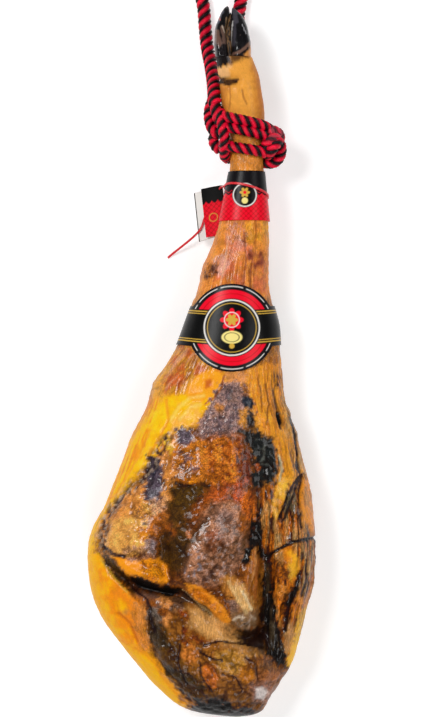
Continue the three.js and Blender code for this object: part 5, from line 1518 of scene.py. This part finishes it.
def tag_print(name, along, down, inked):
    """The cover: black, a scalloped line, crimson with a lattice. The back leaf is white."""
    white = plain_card(CARD_WHITE, along.shape)
    if name == "tag_back":
        return printed(white, [(CARD_BLACK, smooth_step(37.0, 37.6, along))])
    scallop = 17 + 3.2 * np.abs(np.sin(np.pi * along / TAG_SCALLOP))
    red = smooth_step(scallop - 0.4, scallop + 0.4, down)
    flat = np.stack([along, down], axis=-1)
    return printed(white, [
        (CARD_BLACK, inked),
        (CARD_RED, red * inked),
        (CARD_DEEP_RED, red * lattice_lines(along, down, TAG_LATTICE) * 0.8 * inked),
        (CARD_GOLD, ring(flat, (14.5, 38), 5.0, 0.9) * inked),
    ])


for name, (width, opening, start) in LEAVES.items():
    grid, along, down, inked = leaf_grid(width, opening, start)
    leaf = grid_piece(name + "_leaf", grid, caps=(grid[0].mean(0), grid[-1].mean(0)),
                      attributes={"ink": tag_print(name, along, down, inked)})
    leaf.data.materials.append(card_finish)
    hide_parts("tag")

# Seal strap
# A red plastic strap, ribbed like a cable tie. Its ring lies round the neck band, and its tail goes
# through the tag and out at the left.
SEAL_WIDTH = 2.6
SEAL_THICK = 1.2
SEAL_RING_Y = 195.5
SEAL_RING_TILT = 6
SEAL_RIB = 1.6  # distance between ribs
SEAL_RIB_HEIGHT = 0.16
SEAL_RIB_COUNT = 96  # round the ring
SEAL_RINGS = 300
SEAL_TAIL_GAP = 0.4  # between two rings of the mesh
SEAL_COLOUR, SEAL_SHADE = (222, 34, 44), (196, 22, 34)
SEAL_THROUGH_TAG = [(3, 4, 2.9), (12, 12, 2.8), (20, 22, 3.0), (27, 36, 3.6), (34, 48, 3.9)]
SEAL_TAIL_TIP = (-40, 121, 1.4)
STRIP_CORNER = 0.93  # how far out its rounded corners reach
# Half the outline of the strap's section, as shares of half its width and thickness
STRIP_HALF = [(STRIP_CORNER, -STRIP_CORNER), (1, -0.5), (1, 0.5), (STRIP_CORNER, STRIP_CORNER),
              (0.5, 1), (-0.5, 1)]


def strip_grid(path, along, side, out):
    """A flat strip: a rounded outline carried along a path, with ribs raised on its outer face."""
    outline = np.vstack([STRIP_HALF, -np.array(STRIP_HALF)])
    rib = SEAL_RIB_HEIGHT * (0.5 + 0.5 * np.cos(2 * np.pi * along / SEAL_RIB))
    rib = rib[:, None] * (outline[:, 1] >= STRIP_CORNER)
    wide = outline[:, 0] * SEAL_WIDTH / 2
    thick = outline[:, 1] * SEAL_THICK / 2 + rib
    return path[:, None] + side[:, None] * wide[None, :, None] + out[:, None] * thick[..., None]


def seal_ring_point(angle, offset):
    """The ring's middle line, tilted over the neck band's cone."""
    y = SEAL_RING_Y - SEAL_RING_TILT * np.cos(angle) + SEAL_RING_TILT * np.sin(angle)
    share = (NECK_TOP_Y - y) / (NECK_TOP_Y - NECK_LOW_Y)
    return neck_point(angle, share, CARD + NODE_GAP + offset)


def seal_material():
    """Glossy moulded plastic with faint flow lines."""
    wire, finish = new_material("seal_plastic", {"Specular IOR Level": 0.5})
    flow = wire.noise(wire.places(), 400.0, 2.0)
    colour = flow.mix(shade(SEAL_SHADE), shade(SEAL_COLOUR))
    return finish(Base_Color=colour, Roughness=0.24 + flow * 0.16, Normal=flow.bump(0.2, 0.0003))


seal_finish = seal_material()
seal_angles = 2 * np.pi * np.arange(SEAL_RINGS) / SEAL_RINGS
seal_path = seal_ring_point(seal_angles, SEAL_THICK / 2)
seal_out = seal_ring_point(seal_angles, SEAL_THICK) - seal_ring_point(seal_angles, 0.0)
seal_out /= np.maximum(np.linalg.norm(seal_out, axis=1, keepdims=True), 1e-9)
seal_way = np.roll(seal_path, -1, axis=0) - np.roll(seal_path, 1, axis=0)
seal_out -= seal_way * (np.sum(seal_out * seal_way, axis=1) / np.sum(seal_way**2, axis=1))[:, None]
seal_side = np.cross(seal_out, seal_way / np.linalg.norm(seal_way, axis=1, keepdims=True))
seal_along = np.linspace(0, SEAL_RIB * SEAL_RIB_COUNT, SEAL_RINGS, endpoint=False)
seal_grid = strip_grid(seal_path, seal_along, seal_side, seal_out)
seal_ring = grid_piece("seal_strap_ring", seal_grid, closed_rows=True)
seal_ring.data.materials.append(seal_finish)
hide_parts("seal_strap")
tail_start = seal_ring_point(np.array(np.pi), SEAL_THICK)
tail_points = [tail_start, *(on_tag(*place) for place in SEAL_THROUGH_TAG), SEAL_TAIL_TIP]
tail_path, tail_along = smooth_path(tail_points, SEAL_TAIL_GAP)
tail_way = np.gradient(tail_path, axis=0)
tail_way /= np.linalg.norm(tail_way, axis=1, keepdims=True)
tail_out = TAG_OUT - tail_way * (tail_way @ TAG_OUT)[:, None]
tail_out /= np.linalg.norm(tail_out, axis=1, keepdims=True)
tail_grid = strip_grid(tail_path, tail_along, np.cross(tail_out, tail_way), tail_out)
seal_tail = grid_piece("seal_strap_tail", tail_grid, caps=(tail_path[0], tail_path[-1]))
seal_tail.data.materials.append(seal_finish)
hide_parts("seal_strap")

# Floor, lights and white surround
# A plain pale floor under soft studio light: a lamp over the ham's upper left, weaker ones at the right
# and behind, and a white surround that is bright round the horizon and dim overhead.
FLOOR_SIDE = 30.0
FLOOR_LIGHT, FLOOR_DARK = (216, 216, 216), (212, 212, 212)
WHITE = (1, 1, 1, 1)
half = FLOOR_SIDE / 2
floor_mesh = bpy.data.meshes.new("floor")
floor_corners = [(-half, -half, 0), (half, -half, 0), (half, half, 0), (-half, half, 0)]
floor_mesh.from_pydata(floor_corners, [], [(0, 1, 2, 3)])
floor = bpy.data.objects.new("floor", floor_mesh)
bpy.context.scene.collection.objects.link(floor)
paper, paper_finish = new_material("floor_paper", {
    "Specular IOR Level": 0.05, "Roughness": 0.9, "Emission Color": WHITE, "Emission Strength": 0.50})
paper_colour = paper.noise(paper.places(), 3.0, 2.0).mix(shade(FLOOR_LIGHT), shade(FLOOR_DARK))
floor_mesh.materials.append(paper_finish(Base_Color=paper_colour))

# Each lamp: place, side in metres and watts. Each looks at the middle of the table.
LAMPS = [
    ("key", (-1.4, 0.9, 3.0), 1.0, 70.0),
    ("fill", (2.0, 0.3, 2.7), 1.4, 30.0),
    ("rear", (0.2, -2.3, 2.6), 1.2, 26.0),
]
for name, place, side, watts in LAMPS:
    lamp_data = bpy.data.lights.new(name, "AREA")
    lamp_data.size = side
    lamp_data.energy = watts
    lamp = bpy.data.objects.new(name, lamp_data)
    lamp.location = place
    way = -np.array(place) / np.linalg.norm(place)
    turn = np.arccos(-way[2])
    lamp.rotation_euler = (turn, 0, np.arctan2(way[1], way[0]) - np.pi / 2)
    lamp.visible_camera = False
    bpy.context.scene.collection.objects.link(lamp)
HORIZON, ZENITH = (0.46, 0.46, 0.46, 1), (0.07, 0.07, 0.07, 1)
world = bpy.data.worlds.new("studio")
world.use_nodes = True
sky = Wire(world.node_tree)
upward = sky.node("SeparateXYZ", {}, {0: sky.node("TexCoord")}, out=2)
sky_tone = upward.between(-0.2, 1.0).mix(HORIZON, ZENITH)
world.node_tree.links.new(sky_tone.socket, world.node_tree.nodes["Background"].inputs["Color"])
bpy.context.scene.world = world
bpy.context.scene.view_settings.view_transform = "Standard"
